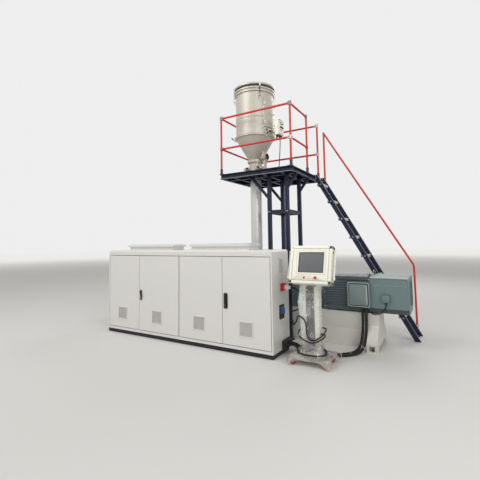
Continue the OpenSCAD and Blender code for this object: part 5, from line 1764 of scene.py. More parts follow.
    def bed_parts(self) -> None:
        """Covers with screws along the bed's sides, and anchor nuts on the end foot's toes."""
        plates, screws = Form(), Form()
        for side in (-1, 1):
            near, far = sorted((side * 0.1999, side * 0.2024))
            for k in range(4):
                x = -2.520 + k * 0.640
                plates.put(Form.span((x, near, 0.290), (x + 0.420, far, 0.450), 0.001, 1))
                corners = [(x + a, z) for a in (0.014, 0.406) for z in (0.304, 0.436)]
                screws.put(Form.screw(0.005), [outward(a, side * 0.2023, z) for a, z in corners])
        plates.piece("bed_covers", Paint.BED)
        screws.piece("bed_cover_screws", Paint.BOLT)
        anchors = [move(1.970, y, 0.0199) for y in (-0.372, 0.372)]
        stud = Form().put(Form.rod(0.008, 0.042, 14, 0.001)).put(Form.bolt(0.014))
        stud.spread(anchors).piece("anchor_nuts", Paint.CORNER)

    def build(self) -> None:
        """Dresses the extruder."""
        self.gearbox_bolts()
        self.gearbox_fittings()
        self.heating_bands()
        self.blower_guards()
        self.flange_bolts()
        self.bed_parts()


@dataclass
class MotorTrim:
    """Screws, glands, eyes and sheet edges of the motor, its hood and its boxes."""

    hood: tuple[float, float] = (1.950, 2.450)
    side: float = 0.250
    low: float = 0.518

    def terminal_box(self) -> None:
        """The lid's screws, seal and crown; a dark band in the groove round the crown, painted
        shadow; a pale strip on the crown's right edge and a pale rim, painted highlights; and the
        rings of the glands.
        """
        lo_x, hi_x, lo_z, hi_z = 1.648, 1.942, 0.596, 0.930
        spots = [
            (lo_x, lo_z), (lo_x, hi_z), (hi_x, lo_z), (hi_x, hi_z), (1.795, lo_z), (1.795, hi_z)
        ]
        places = [
            move(
                x + (0.004 if x == lo_x else -0.004 if x == hi_x else 0),
                -0.3059,
                z + (0.004 if z == lo_z else -0.004),
            ) @ FRONT
            for x, z in spots
        ]
        Form.screw(0.0052).spread(places).piece("terminal_lid_screws", Paint.BOLT)
        middle, lid = (1.795, 0.763), -0.3059
        seal = Form.ring_plate(rounded_outline(0.3000, 0.3400, 0.029), 0.0022, 0.012)
        seal.at(
            move(middle[0], -0.2832, middle[1]) @ FRONT
        ).piece("terminal_box_seal", Paint.RUBBER)
        # the groove round the crown painted dark: painted shadow
        groove = Form.ring_plate(rounded_outline(0.2524, 0.2924, 0.018), 0.0130, 0.0010)
        groove.at(
            move(middle[0], lid, middle[1]) @ FRONT
        ).piece("terminal_lid_groove", Paint.SHADOW)
        crown = Form.plate(rounded_outline(0.2536, 0.2936, 0.016), 0.0026, 0.0022)
        crown.at(
            move(middle[0], -0.3184, middle[1]) @ FRONT
        ).piece("terminal_lid_crown", Paint.CROWN)
        # a pale strip along the crown's right edge: a painted highlight
        shine = Form.span((1.9030, -0.3222, 0.6360), (1.9190, -0.3200, 0.8960), 0.0010)
        shine.piece("terminal_crown_edge", Paint.ROLL)
        # the lid's rim painted pale: a painted highlight
        rim = Form.ring_plate(rounded_outline(0.2860, 0.3260, 0.026), 0.0066, 0.0011)
        rim.at(move(middle[0], lid, middle[1]) @ FRONT).piece("terminal_lid_rim", Paint.ROLL)
        nuts = [move(x, -0.285, 0.5655) for x in (1.840, 1.885, 1.930)]
        Form.lathe(
            [(0.0206, 0), (0.0222, 0.001), (0.0222, 0.016), (0.0206, 0.0172)], 24, ring=True
        ).spread(nuts).piece("terminal_gland_rings", Paint.BLACK)

    def junction_box(self) -> None:
        """Lid, seal and screws of the small junction box."""
        lid = Form.block(0.098, 0.0025, 0.094, 0.0012).at(move(2.155, -0.2958, 0.676))
        lid.piece("junction_lid", Paint.MOTOR)
        spots = [move(x, -0.2969, z) @ FRONT for x in (2.112, 2.198) for z in (0.684, 0.762)]
        Form.screw(0.0034).spread(spots).piece("junction_lid_screws", Paint.BOLT)
        gap = Form.block(0.1005, 0.0012, 0.0965, 0.0003, 1).at(move(2.155, -0.2951, 0.6748))
        gap.piece("junction_seal", Paint.RUBBER)

    def hood_edges(self) -> None:
        """The rolled edge in pale paint, a painted highlight with dust; a dark strip beneath it,
        painted shadow; a dark plate on the recessed skirt, painted shade; the screws; and pale
        lines along the folds, painted highlights.
        """
        x0, x1 = self.hood
        for side, tag in ((-1, "front"), (1, "rear")):
            y = side * self.side
            roll = [Vector((x0 + 0.0008 + k * 0.083, side * 0.249, 1.0053)) for k in range(7)]
            roll[-1].x = x1 - 0.0006
            # the rolled edge painted pale: a painted highlight, with dust
            Form.tube(roll, 0.0134, 20).piece(f"hood_roll_{tag}", Paint.ROLL)
            near, far = sorted((y, y + side * 0.0012))
            # a dark strip under the rolled edge: painted shadow
            gap = Form.span((x0 + 0.001, near, 0.9878), (x1 - 0.024, far, 0.9932), 0.0004, 1)
            gap.piece(f"hood_gap_{tag}", Paint.RUBBER)
            # a dark green plate on the recessed skirt: painted shade
            near, far = sorted((side * 0.2403, side * 0.2403 + side * 0.0012))
            lo = (x0 + 0.0006, near, self.low + 0.0006)
            hi = (x1 - 0.0065, far, self.low + 0.0620)
            Form.span(lo, hi, 0.0004, 1).piece(f"hood_skirt_{tag}", Paint.LOWER)
            screws = [outward(x, side * (self.side - SINK), z)
                      for x in (x0 + 0.024, x1 - 0.060) for z in (0.606, 0.860, 0.955)]
            Form.screw(0.0045).spread(screws).piece(f"hood_screws_{tag}", Paint.BOLT)
        for tag, y in (("front", -0.2541), ("rear", 0.2541)):
            # a pale line along the hood's fold: a painted highlight
            crease = Form.block(0.470, 0.0012, 0.0016, 0.0004, 1).at(move(2.200, y, 0.8975))
            crease.piece(f"hood_crease_{tag}", Paint.PALE)

    def fan_grille(self) -> None:
        """The air inlet in the hood's end: a rimmed opening behind wire rings, filled with a dark
        disc of painted shade.
        """
        at = move(self.hood[1] - SINK, 0, 0.79) @ RIGHT
        radii = (0.030, 0.055, 0.080, 0.105, 0.130, 0.155, 0.180)
        rings = wire_rings(radii, 0.0016, 0.002, 0.005, 56)
        rings.put(Form.block(0.376, 0.005, 0.0032, 0.001, 1), [turn("Z", 45 * k) for k in range(4)])
        rings.put(Form.lathe([(0.184, 0), (0.2, 0), (0.2, 0.005), (0.184, 0.006)], 72, ring=True))
        rings.at(at).piece("fan_grille", Paint.MOTOR)
        # a dark disc in the opening: painted shade
        Form.hoop(0, 0.185, 0, 0.0012, 64).at(at).piece("fan_opening", Paint.RUBBER)
        bolts = [at @ p @ move(0, 0, 0.0045) for p in around(4, 0.192, 45)]
        Form.screw(0.005).spread(bolts).piece("fan_grille_screws", Paint.BOLT)

    def coupling_guard(self) -> None:
        """The arched cover over the coupling of gearbox and motor, with its feet and screws."""
        arch = [
            (0.155 * math.cos(math.radians(a)), 0.8 + 0.13 * math.sin(math.radians(a)))
            for a in range(0, 181, 12)
        ]
        outline = [(0.155, 0.5001), *arch, (-0.155, 0.5001)]
        along = Matrix(((0, 0, 1, 0), (1, 0, 0, 0), (0, 1, 0, 0), (0, 0, 0, 1)))
        Form.plate(outline, 0.214, 0.003).at(move(1.053, 0, 0) @ along).piece(
            "coupling_guard", Paint.FRAME
        )
        ribs = Form()
        for x in (1.075, 1.155, 1.235):
            band = [(y * 1.012, z + 0.0025 if z > 0.6 else z) for y, z in outline]
            ribs.put(Form.plate(band, 0.010, 0.001), [move(x, 0, 0) @ along])
        ribs.piece("coupling_guard_ribs", Paint.FRAME)
        feet, screws = Form(), Form()
        for side in (-1, 1):
            feet.put(Form.block(0.200, 0.030, 0.004, 0.001), [move(1.160, side * 0.169, 0.4999)])
            screws.put(Form.bolt(0.0065), [move(x, side * 0.172, 0.5038) for x in (1.080, 1.240)])
        feet.piece("coupling_guard_feet", Paint.FRAME)
        screws.piece("coupling_guard_bolts", Paint.BOLT)

    def motor_parts(self) -> None:
        """Lifting eyes on the frame, the bolts of its ends and the cover on top."""
        eye = Form.lathe(
            [(0, 0), (0.02, 0), (0.02, 0.008), (0.01, 0.012), (0.01, 0.02), (0, 0.02)], 24
        )
        eye.put(Form.torus(0.017, 0.006, 28), [move(0, 0, 0.039) @ FRONT])
        spots = [move(x, y, 1.0179) for x in (1.285, 1.935) for y in (-0.210, 0.210)]
        eye.spread(spots).piece("motor_eyes", Paint.BOLT)
        screws = [move(1.2701, y, z) @ LEFT for y in (-0.225, 0.225) for z in (0.545, 0.99)]
        screws += [outward(x, y, z) for x in (1.285, 1.935)
                   for y in (-0.2499, 0.2499) for z in (0.560, 0.768, 0.976)]
        Form.bolt(0.0075).spread(screws).piece("motor_end_bolts", Paint.BOLT)
        cover = Form.span((1.420, -0.120, 1.0138), (1.720, 0.120, 1.0175), 0.001, 1)
        cover.piece("motor_top_cover", Paint.MOTOR)

    def build(self) -> None:
        """Dresses the motor."""
        self.terminal_box()
        self.junction_box()
        self.hood_edges()
        self.fan_grille()
        self.coupling_guard()
        self.motor_parts()


# Trim of the platform, its rails and its stair


@dataclass
class TowerTrim:
    """Anchors, cleats and bolts of the tower, and a painted highlight along the deck's edge."""

    columns: tuple[float, float] = (0.400, 0.720)
    half: float = 0.270
    deck_x: tuple[float, float] = (-0.430, 0.930)
    deck_y: tuple[float, float] = (-0.534, 0.830)
    channel_z: float = 2.635
    plate_top: float = 2.7199

    def anchors(self) -> None:
        """Four anchor bolts on each column's foot plate."""
        stud = Form().put(Form.rod(0.006, 0.030, 12, 0.001)).put(Form.bolt(0.0115))
        spots = []
        for x in self.columns:
            for side in (-1, 1):
                spots += [move(x + dx, side * (self.half + dy), 0.0119)
                          for dx in (-0.052, 0.052) for dy in (0.084, -0.012)]
        stud.spread(spots).piece("column_anchors", Paint.BOLT)

    def cleats(self) -> None:
        """Angle cleats and bolts where the middle beams and the deck's frame meet the columns."""
        cleat = Form.block(0.050, 0.006, 0.050, 0.001, 1)
        plates, bolts = Form(), Form()
        for x in self.columns:
            for side in (-1, 1):
                y = side * (self.half + 0.0301)
                for z in (2.005, 2.660):
                    plates.put(cleat, [move(x, y + side * 0.003, z)])
                    spots = [
                        outward(x + dx, y + side * 0.0059, z + 0.025) for dx in (-0.013, 0.013)
                    ]
                    bolts.put(Form.bolt(0.0075), spots)
        plates.piece("beam_cleats", Paint.NAVY)
        bolts.piece("beam_cleat_bolts", Paint.BOLT)

    def deck_edges(self) -> None:
        """Bright lines along the channels' lower flange edges: painted highlights."""
        x0, x1 = self.deck_x
        y0, y1 = self.deck_y
        z0, z1 = self.channel_z + 0.0004, self.channel_z + 0.0066
        strips = [
            ((x0, y0 - 0.0005, z0), (x1, y0 + 0.001, z1)),
            ((x0, y1 - 0.001, z0), (x1, y1 + 0.0005, z1)),
            ((x0 - 0.0005, y0, z0), (x0 + 0.001, y1, z1)),
            ((x1 - 0.001, y0, z0), (x1 + 0.0005, y1, z1)),
        ]
        form = Form()
        for lo, hi in strips:
            form.put(Form.span(lo, hi, 0.0003, 1))
        form.piece("deck_edge_wear", Paint.WORN)

    def deck_bolts(self) -> None:
        """Countersunk bolts that hold the chequer plate, and web bolts on the channels."""
        head = Form.lathe(
            [(0, 0), (0.009, 0), (0.009, 0.0008), (0.0042, 0.0012), (0.004, 0.0004), (0, 0.0004)],
            16,
        )
        spots = []
        for k in range(8):
            x = self.deck_x[0] + 0.10 + k * 0.165
            spots += [
                move(x, y, self.plate_top) for y in (self.deck_y[0] + 0.07, self.deck_y[1] - 0.07)
            ]
        for k in range(6):
            y = self.deck_y[0] + 0.18 + k * 0.20
            spots += [
                move(x, y, self.plate_top) for x in (self.deck_x[0] + 0.07, self.deck_x[1] - 0.07)
            ]
        head.spread(spots).piece("deck_plate_bolts", Paint.BOLT)
        web = [move(x, self.deck_y[0] + 0.0431, 2.675) @ FRONT for x in (-0.3, 0.0, 0.3, 0.62)]
        web += [move(self.deck_x[1] - 0.0431, y, 2.675) @ RIGHT for y in (-0.3, 0.0, 0.3, 0.62)]
        web += [move(x, self.deck_y[1] - 0.0431, 2.675) @ REAR for x in (-0.3, 0.0, 0.3)]
        Form.bolt(0.0085).spread(web).piece("channel_bolts", Paint.NAVY)

    def build(self) -> None:
        """Dresses tower and deck."""
        self.anchors()
        self.cleats()
        self.deck_edges()
        self.deck_bolts()


@dataclass
class RailTrim:
    """Dark post sockets, pale replaced fittings and set screws of the guard rails."""

    deck: float = 2.720
    rails: tuple[float, float] = (3.174, 3.725)
    posts: tuple[tuple[float, float], ...] = (
        (-0.405, -0.509), (0.905, -0.509), (0.905, 0.217), (0.905, 0.805), (-0.405, 0.805),
    )
    turns: tuple[tuple[float, ...], ...] = ((0, 90), (180, 90), (-90,), (180,), (0, -90))

    def fitting(self, post: int) -> Form:
        """A sleeve that follows one pipe fitting and its stubs.

        Args:
            post: The post's number.

        Returns:
            The sleeve, centred on the fitting.
        """
        r = 0.0226
        form = Form.rod(r, 0.0600, 28, 0.002).at(move(0, 0, -0.0300))
        for degrees in self.turns[post]:
            stub = Form.rod(r, 0.0476, 28, 0.0015)
            stub.put(Form.hoop(r - 0.001, r + 0.0014, 0.04, 0.0474, 28))
            form.put(stub, [turn("Z", degrees) @ RIGHT])
        return form

    def sleeves(self) -> None:
        """The fittings that aren't red, in white and in grey."""
        chosen = {
            Paint.PALE: ((1, 0), (3, 1), (3, 0)),
            Paint.GREY: ((0, 1), (1, 1), (2, 1)),
        }
        for paint, spots in chosen.items():
            form = Form()
            for post, level in spots:
                form.put(self.fitting(post), [move(*self.posts[post], self.rails[level])])
            form.piece(f"rail_fittings_{paint.name.lower()}", paint)

    def sockets(self) -> None:
        """The dark socket at each post's foot, with its bolts."""
        profile = [
            (0.0165, 0.0001), (0.0247, 0.0001), (0.0247, 0.0143), (0.0228, 0.0155),
            (0.0228, 0.077), (0.0257, 0.0776), (0.0257, 0.0902), (0.024, 0.0912), (0.0172, 0.0912),
            (0.0172, 0.07),
        ]
        socket = Form.lathe(profile, 32, ring=True)
        plate = Form.block(0.078, 0.078, 0.008, 0.0015)
        sockets, bolts = Form(), Form()
        for i, (x, y) in enumerate(self.posts):
            sockets.put(socket, [move(x, y, self.deck)])
            dx = 0.0137 if x < 0 else -0.0137
            dy = -0.0137 if y > 0.5 else 0.0137 if y < 0 else 0
            sockets.put(plate, [move(x + dx, y + dy, self.deck - 0.0002)])
            bolts.put(Form.bolt(0.0062), [move(x + dx + a, y + dy + b, self.deck + 0.0077)
                                          for a in (-0.029, 0.029) for b in (-0.029, 0.029)
                                          if math.hypot(dx + a, dy + b) > 0.033])
        sockets.piece("post_sockets", Paint.DARK)
        bolts.piece("post_socket_bolts", Paint.BOLT)

    def set_screws(self) -> None:
        """Grub screws on every fitting, two to a post and one to a stub."""
        screw = Form.lathe(
            [(0, 0), (0.0042, 0), (0.0042, 0.0022), (0.0022, 0.0026), (0.002, 0.001), (0, 0.001)],
            12,
        )
        spots = []
        for (x, y), turns in zip(self.posts, self.turns):
            for z in self.rails:
                free = turn(
                    "Z",
                    turns[0] + 180 if len(turns) == 1 else sum(turns) / 2 + (
                        180 if 180 not in turns else 0
                    ),
                )
                spots.append(move(x, y, z) @ free @ move(0.0222, 0, 0) @ RIGHT)
                for degrees in turns:
                    spots.append(move(x, y, z) @ turn("Z", degrees) @ move(0.034, 0, 0.0222))
        screw.spread(spots).piece("fitting_set_screws", Paint.BOLT)

    def build(self) -> None:
        """Dresses the guard rails."""
        self.sleeves()
        self.sockets()
        self.set_screws()


@dataclass
class StairTrim:
    """Anti-slip ribs, bolts, cleats and painted edge highlights of the stair."""

    top_x: float = 0.990
    foot_x: float = 2.510
    deck: float = 2.720
    sides: tuple[float, float] = (0.460, 0.890)
    treads: int = 8
    top_tread: float = 2.560
    rise: float = 0.315

    def along(self, z: float) -> float:
        """X of the stringers' upper edge at a height."""
        return self.top_x + (self.deck - z) * (self.foot_x - self.top_x) / self.deck

    def tread_parts(self) -> None:
        """Ribs and holes' rims on each tread, and its bolts through the stringers."""
        rib = Form.block(0.005, 0.345, 0.0022, 0.0006, 1)
        rim = Form.lathe(
            [(0.0045, 0), (0.0075, 0), (0.0062, 0.0018), (0.0045, 0.0014)], 12, ring=True
        )
        ribs, bolts = Form(), Form()
        for i in range(self.treads):
            z = self.top_tread - self.rise * i
            x = self.along(z) - 0.102
            ribs.put(rib, [move(x + dx, 0.675, z - 0.0002) for dx in (0.008, 0.088)])
            ribs.put(
                rim,
                [
                    move(x + dx, 0.53 + k * 0.036, z - SINK)
                    for dx in (0.03, 0.064)
                    for k in range(9)
                ],
            )
            for y in (self.sides[0] + SINK, self.sides[1] - 0.0399):
                bolts.put(
                    Form.bolt(0.009), [move(x + dx, y, z - 0.022) @ FRONT for dx in (0.024, 0.072)]
                )
        ribs.piece("tread_ribs", Paint.TREAD)
        bolts.piece("tread_bolts", Paint.BOLT)

    def edges(self) -> None:
        """Painted highlights along the stringers' upper edges."""
        a, b = Vector((self.top_x, 0, self.deck)), Vector((self.foot_x, 0, 0.0))
        span = (b - a).length
        place = between(tuple(a), tuple(b))
        form = Form()
        left, right = self.sides
        for y in (left + 0.0008, left + 0.0392, right - 0.0392, right - 0.0008):
            strip = Form.block(0.0024, 0.0024, span - 0.012, 0.0006, 1)
            form.put(strip, [move(0, y, 0) @ place @ move(0, 0, 0.004)])
        form.piece("stringer_edge_wear", Paint.WORN)

    def cleats(self) -> None:
        """Foot plates with anchors, top cleats with bolts, and clamps round the handrail's tube."""
        plates, bolts = Form(), Form()
        for y in (self.sides[0] + 0.020, self.sides[1] - 0.020):
            inner = 0.055 if y < 0.7 else -0.055
            plates.put(Form.block(0.060, 0.070, 0.008, 0.001, 1), [move(2.446, y + inner, 0)])
            bolts.put(Form.bolt(0.010), [move(2.446, y + inner * 1.1, 0.0079)])
            bolts.put(Form.bolt(0.008), [move(0.96, y - 0.0201, z) @ FRONT for z in (2.652, 2.696)])
        plates.piece("stair_foot_plates", Paint.NAVY)
        bolts.piece("stair_bolts", Paint.BOLT)
        band = Form.hoop(0.0162, 0.0186, 0, 0.022, 28)
        lug = Form.block(0.012, 0.016, 0.022, 0.001, 1)
        clamps = Form()
        for x, z, wide in ((1.010, 2.570, 1.048), (2.435, 0.150, 1.0)):
            clamps.put(band, [move(x, 0.870, z) @ Matrix.Diagonal((wide, wide, 1, 1))])
            clamps.put(lug, [move(x + 0.022, 0.870, z)])
        clamps.piece("handrail_clamps", Paint.GALVANISED)

    def build(self) -> None:
        """Dresses the stair."""
        self.tread_parts()
        self.edges()
        self.cleats()


# Trim of the hopper dryer


@dataclass
class HopperTrim:
    """Seals, painted shadow lines, bolts, door parts and grips of the hopper."""

    radius: float = 0.345

    def seals_and_shadows(self) -> None:
        """A dark band under the lid, part seal and part painted shadow; a dark line at the joint,
        painted shadow; and painted shadow lines by the ribs.
        """
        # dark rings: the seal under the lid darkened as painted shadow, and painted shadow at the
        # joint and by the ribs
        rings = (
            (0.3568, 0.3582, 4.27, 4.3045),
            (0.364, 0.3658, 3.4184, 3.4216),
            (0.3528, 0.3538, 4.2192, 4.2242),
            (0.3448, 0.3456, 4.18, 4.184),
        )
        form = Form()
        for inner, outer, low, high in rings:
            form.put(Form.hoop(inner - 0.002, outer, low, high, 96))
        form.piece("hopper_seals", Paint.RUBBER)
        bead = Form.lathe(
            [(0.3745, 4.3335), (0.3763, 4.3345), (0.3752, 4.3362), (0.3735, 4.3358)], 96, ring=True
        )
        bead.piece("lid_rim_bead", Paint.CREAM)

    def door_parts(self) -> None:
        """The clean-out door's gasket, its two toggles, its hinge leaves and a bowed grip."""
        r = self.radius + 0.0016
        low, high = 3.5492, 4.0708
        turned = -6
        reach = math.degrees(math.asin(0.1716 / 0.357))
        arc = [math.radians(turned - reach + 2 * reach * k / 24) for k in range(25)]
        for tag, z in (("low", low), ("high", high)):
            line = [Vector((r * math.cos(a), r * math.sin(a), z)) for a in arc]
            Form.tube(line, 0.0026, 8).piece(f"clean_out_gasket_{tag}", Paint.RUBBER)
        sides = Form()
        for a in (arc[0], arc[-1]):
            sides.put(
                Form.rod(0.0026, high - low, 8, 0), [move(r * math.cos(a), r * math.sin(a), low)]
            )
        sides.piece("clean_out_gasket_sides", Paint.RUBBER)
        spot = turn("Z", turned)
        face = 0.357
        toggles, levers, leaves = Form(), Form(), Form()
        for z in (3.640, 3.980):
            edge = math.degrees(math.asin(0.158 / face))
            place = spot @ turn("Z", edge) @ move(face, 0, z)
            toggles.put(Form.block(0.010, 0.034, 0.030, 0.002), [place @ move(0.0035, 0, -0.015)])
            toggles.put(
                Form.block(0.006, 0.022, 0.018, 0.001), [place @ move(-0.006, 0.034, -0.009)]
            )
            levers.put(
                Form.block(0.005, 0.052, 0.012, 0.002), [place @ move(0.0105, 0.006, -0.006)]
            )
            hinge = spot @ turn("Z", -edge) @ move(face, 0, z)
            leaves.put(Form.block(0.003, 0.04, 0.052, 0.001), [hinge @ move(0.0008, 0.01, -0.026)])
            leaves.put(
                Form.screw(0.004),
                [hinge @ move(0.0023, 0.016, dz) @ RIGHT for dz in (-0.016, 0.016)],
            )
        toggles.piece("clean_out_toggles", Paint.STAINLESS)
        levers.piece("clean_out_levers", Paint.BLACK)
        leaves.piece("clean_out_hinge_leaves", Paint.STAINLESS)
        grip = bow([(0, -0.06), (0.018, -0.06), (0.033, -0.048), (0.036, -0.02)], 0.0052)
        grip.at(spot @ move(face - 0.003, 0, 3.800)).piece("clean_out_grip", Paint.STAINLESS)

    def joint_grip(self) -> None:
        """The small white grab handle low on the body, on its two dark brackets."""
        bar = Form.block(0.016, 0.098, 0.020, 0.004).at(turn("Z", -18) @ move(0.377, 0, 3.492))
        bar.piece("joint_grip", Paint.HANDLE)
        brackets = Form()
        for y in (-0.036, 0.036):
            brackets.put(
                Form.block(0.034, 0.011, 0.052, 0.002), [turn("Z", -18) @ move(0.358, y, 3.47)]
            )
        brackets.piece("joint_grip_brackets", Paint.BLACK)

    def flange_bolts(self) -> None:
        """Bolts through the lower flanges and on the base ring, the lid's collar and screws."""
        top = [move(0, 0, 3.0029) @ p for p in around(8, 0.1348, 11)]
        under = [move(0, 0, 2.9641) @ p @ turn("X", 180) for p in around(8, 0.1348, 11)]
        Form.bolt(0.0072, False).spread(top + under).piece("gate_flange_bolts", Paint.BOLT)
        base = Form.bolt(0.0115)
        base.spread(
            [move(0, 0, 2.7359) @ p for p in around(8, 0.168)]
        ).piece("base_ring_bolts", Paint.PALE)
        profile = [(0.0262, 4.3450), (0.0300, 4.3790), (0.0300, 4.3830), (0.0262, 4.3840)]
        Form.lathe(profile, 36, ring=True).piece("lid_lug_collar", Paint.STAINLESS)
        Form.screw(0.0045).spread(
            [move(0, 0, 4.3389) @ p for p in around(12, 0.325, 15)]
        ).piece("lid_screws", Paint.BOLT)

    def gate_parts(self) -> None:
        """The slide gate's pull, its clamping screws and dark lines along its slots."""
        pull = bow([(0, -0.052), (-0.022, -0.052), (-0.036, -0.040), (-0.040, -0.015)], 0.0055)
        pull.at(move(-0.1950, 0, 2.862)).piece("gate_pull", Paint.STAINLESS)
        knob = Form.lathe(
            [
                (0, 0), (0.006, 0), (0.006, 0.01), (0.017, 0.012), (0.018, 0.026), (0.012, 0.03),
                (0, 0.031),
            ],
            24,
        )
        spots = [outward(x, y, 2.862) for x in (-0.110, 0.110) for y in (-0.1099, 0.1099)]
        knob.spread(spots).piece("gate_knobs", Paint.BLACK)
        # dark lines along the gate's slots: painted shade
        strips = Form()
        for y in (-0.1108, 0.1108):
            strips.put(
                Form.block(0.33, 0.0018, 0.0026, 0.0004, 1),
                [move(0, y, z) for z in (2.848, 2.8735)],
            )
        strips.piece("gate_slots", Paint.RUBBER)

    def latch_parts(self) -> None:
        """Dark grips on the four long latches, their pivots, and the joint levers' grips."""
        grips, pins = Form(), Form()
        for degrees in (-47, 43, 133, 223):
            spot = turn("Z", degrees)
            grips.put(Form.block(0.0026, 0.017, 0.200, 0.001, 1), [spot @ move(0.3878, 0, 4.060)])
            pins.put(
                Form.rod(0.005, 0.042, 14, 0.001),
                [spot @ move(0.372, 0.021, z) @ FRONT for z in (4.062, 4.105)],
            )
            pins.put(Form.rod(0.0045, 0.032, 14, 0.001), [spot @ move(0.384, 0.016, 4.333) @ FRONT])
        grips.piece("latch_grips", Paint.BLACK)
        pins.piece("latch_pins", Paint.STAINLESS)
        sleeves = Form()
        for degrees in (-152, -30, 90):
            spot = turn("Z", degrees) @ move(0.3653, 0, 3.42) @ between(
                (0.03, 0, -0.01), (0.066, 0, 0.026)
            )
            sleeves.put(Form.rod(0.0098, 0.040, 20, 0.002, 0.0112), [spot])
        sleeves.piece("joint_lever_grips", Paint.BLACK)

    def build(self) -> None:
        """Dresses the hopper."""
        self.seals_and_shadows()
        self.door_parts()
        self.joint_grip()
        self.flange_bolts()
        self.gate_parts()
        self.latch_parts()


@dataclass
class DryerTrim:
    """Grille of the blower, and the control box's switches, hood and gussets."""

    fan_turn: float = -12
    fan_z: float = 3.042
    face: float = 0.271

    def blower(self) -> None:
        """Guard rings over the dark inlet, rim screws and the foot's bolts."""
        at = turn("Z", self.fan_turn) @ move(self.face - SINK, 0, self.fan_z) @ RIGHT
        guard = wire_rings((0.012, 0.023, 0.034, 0.045), 0.0009, 0, 0.0018, 36)
        guard.put(Form.block(0.1, 0.0022, 0.0018, 0.0004, 1), [turn("Z", 60 * k) for k in range(3)])
        guard.at(at).piece("blower_inlet_guard", Paint.BLACK)
        # a dark cup in the inlet: painted shade
        throat = Form.lathe(
            [
                (0, -0.03), (0.0474, -0.03), (0.0474, -0.0005), (0.0466, -0.0005),
                (0.0466, -0.0292), (0, -0.0292),
            ],
            40,
        ).at(at)
        throat.piece("blower_inlet_liner", Paint.RUBBER)
        screws = [at @ p @ move(0, 0, -0.0159) for p in around(6, 0.0690, 10)]
        screws += [at @ p for p in around(4, 0.0535, 45)]
        Form.screw(0.0034).spread(screws).piece("blower_screws", Paint.BOLT)
        hub = turn("Z", self.fan_turn)
        foot = [hub @ move(x, y, 2.7339) for x in (0.232, 0.272) for y in (-0.055, 0.004)]
        Form.bolt(0.0068).spread(foot).piece("blower_foot_bolts", Paint.BOLT)

    def control_box(self) -> None:
        """The slanted rain hood, the door's seam, switches, lamps, latch and the dark gussets."""
        hood = Form.plate([(-0.002, 0), (0.102, 0), (0.102, 0.004), (-0.002, 0.034)], 0.200, 0.0012)
        hood.at(move(0.437, 0.1, 3.659) @ FRONT).piece("control_box_hood", Paint.PANEL)
        face = 0.5321
        window = Form.block(0.0020, 0.060, 0.034, 0.0008, 1).at(move(face, -0.030, 3.590))
        window.piece("control_display", Paint.SCREEN)
        rim = Form.span((face - 0.001, -0.064, 3.586), (face + 0.0008, 0.004, 3.628), 0.0006, 1)
        rim.piece("control_display_rim", Paint.BEZEL)
        knob = Form.lathe(
            [(0, 0), (0.014, 0), (0.014, 0.004), (0.0105, 0.006), (0.0095, 0.018), (0, 0.019)], 28
        )
        spots = [
            move(face - 0.0002, y, z) @ RIGHT
            for y, z in ((-0.04, 3.535), (0.0, 3.535), (0.04, 3.535), (0.04, 3.606))
        ]
        knob.spread(spots).piece("control_switches", Paint.BLACK)
        lamp = Form.lathe([(0, 0), (0.0085, 0), (0.0085, 0.003), (0.006, 0.007), (0, 0.008)], 24)
        lamps = [move(face - 0.0002, y, 3.485) @ RIGHT for y in (-0.04, 0.0)]
        lamp.spread(lamps).piece("control_lamps", Paint.SIGNAL)
        lock = Form.lathe([(0, 0), (0.009, 0), (0.009, 0.003), (0.004, 0.004), (0, 0.004)], 20)
        lock.at(move(face - 0.0002, 0.074, 3.53) @ RIGHT).piece("control_box_lock", Paint.BOLT)
        seam = Form.ring_plate(rounded_outline(0.2488, 0.1786, 0.004), 0.0016, 0.0022)
        seam.at(move(0.5166, 0, 3.53) @ RIGHT).piece("control_box_seal", Paint.RUBBER)
        gussets = Form()
        for y in (-0.058, 0.050):
            gusset = Form.plate(
                [(0, 0), (0.062, 0), (0.062, -0.012), (0.01, -0.06), (0, -0.06)], 0.008, 0.001
            )
            gussets.put(gusset, [move(0.448, y + 0.008, 3.4001) @ FRONT])
        gussets.piece("control_box_gussets", Paint.BLACK)
        hinge = Form.rod(0.004, 0.034, 12, 0.001)
        hinge.spread(
            [move(0.523, -0.0955, z) for z in (3.43, 3.6)]
        ).piece("control_box_hinges", Paint.PANEL)

    def build(self) -> None:
        """Dresses blower and control box."""
        self.blower()
        self.control_box()


# Trim of the operator panel, and the packing film round it

HEAD = move(1.455, -1.260, 1.229) @ turn("X", -17)
COLUMN = (1.395, -1.150)


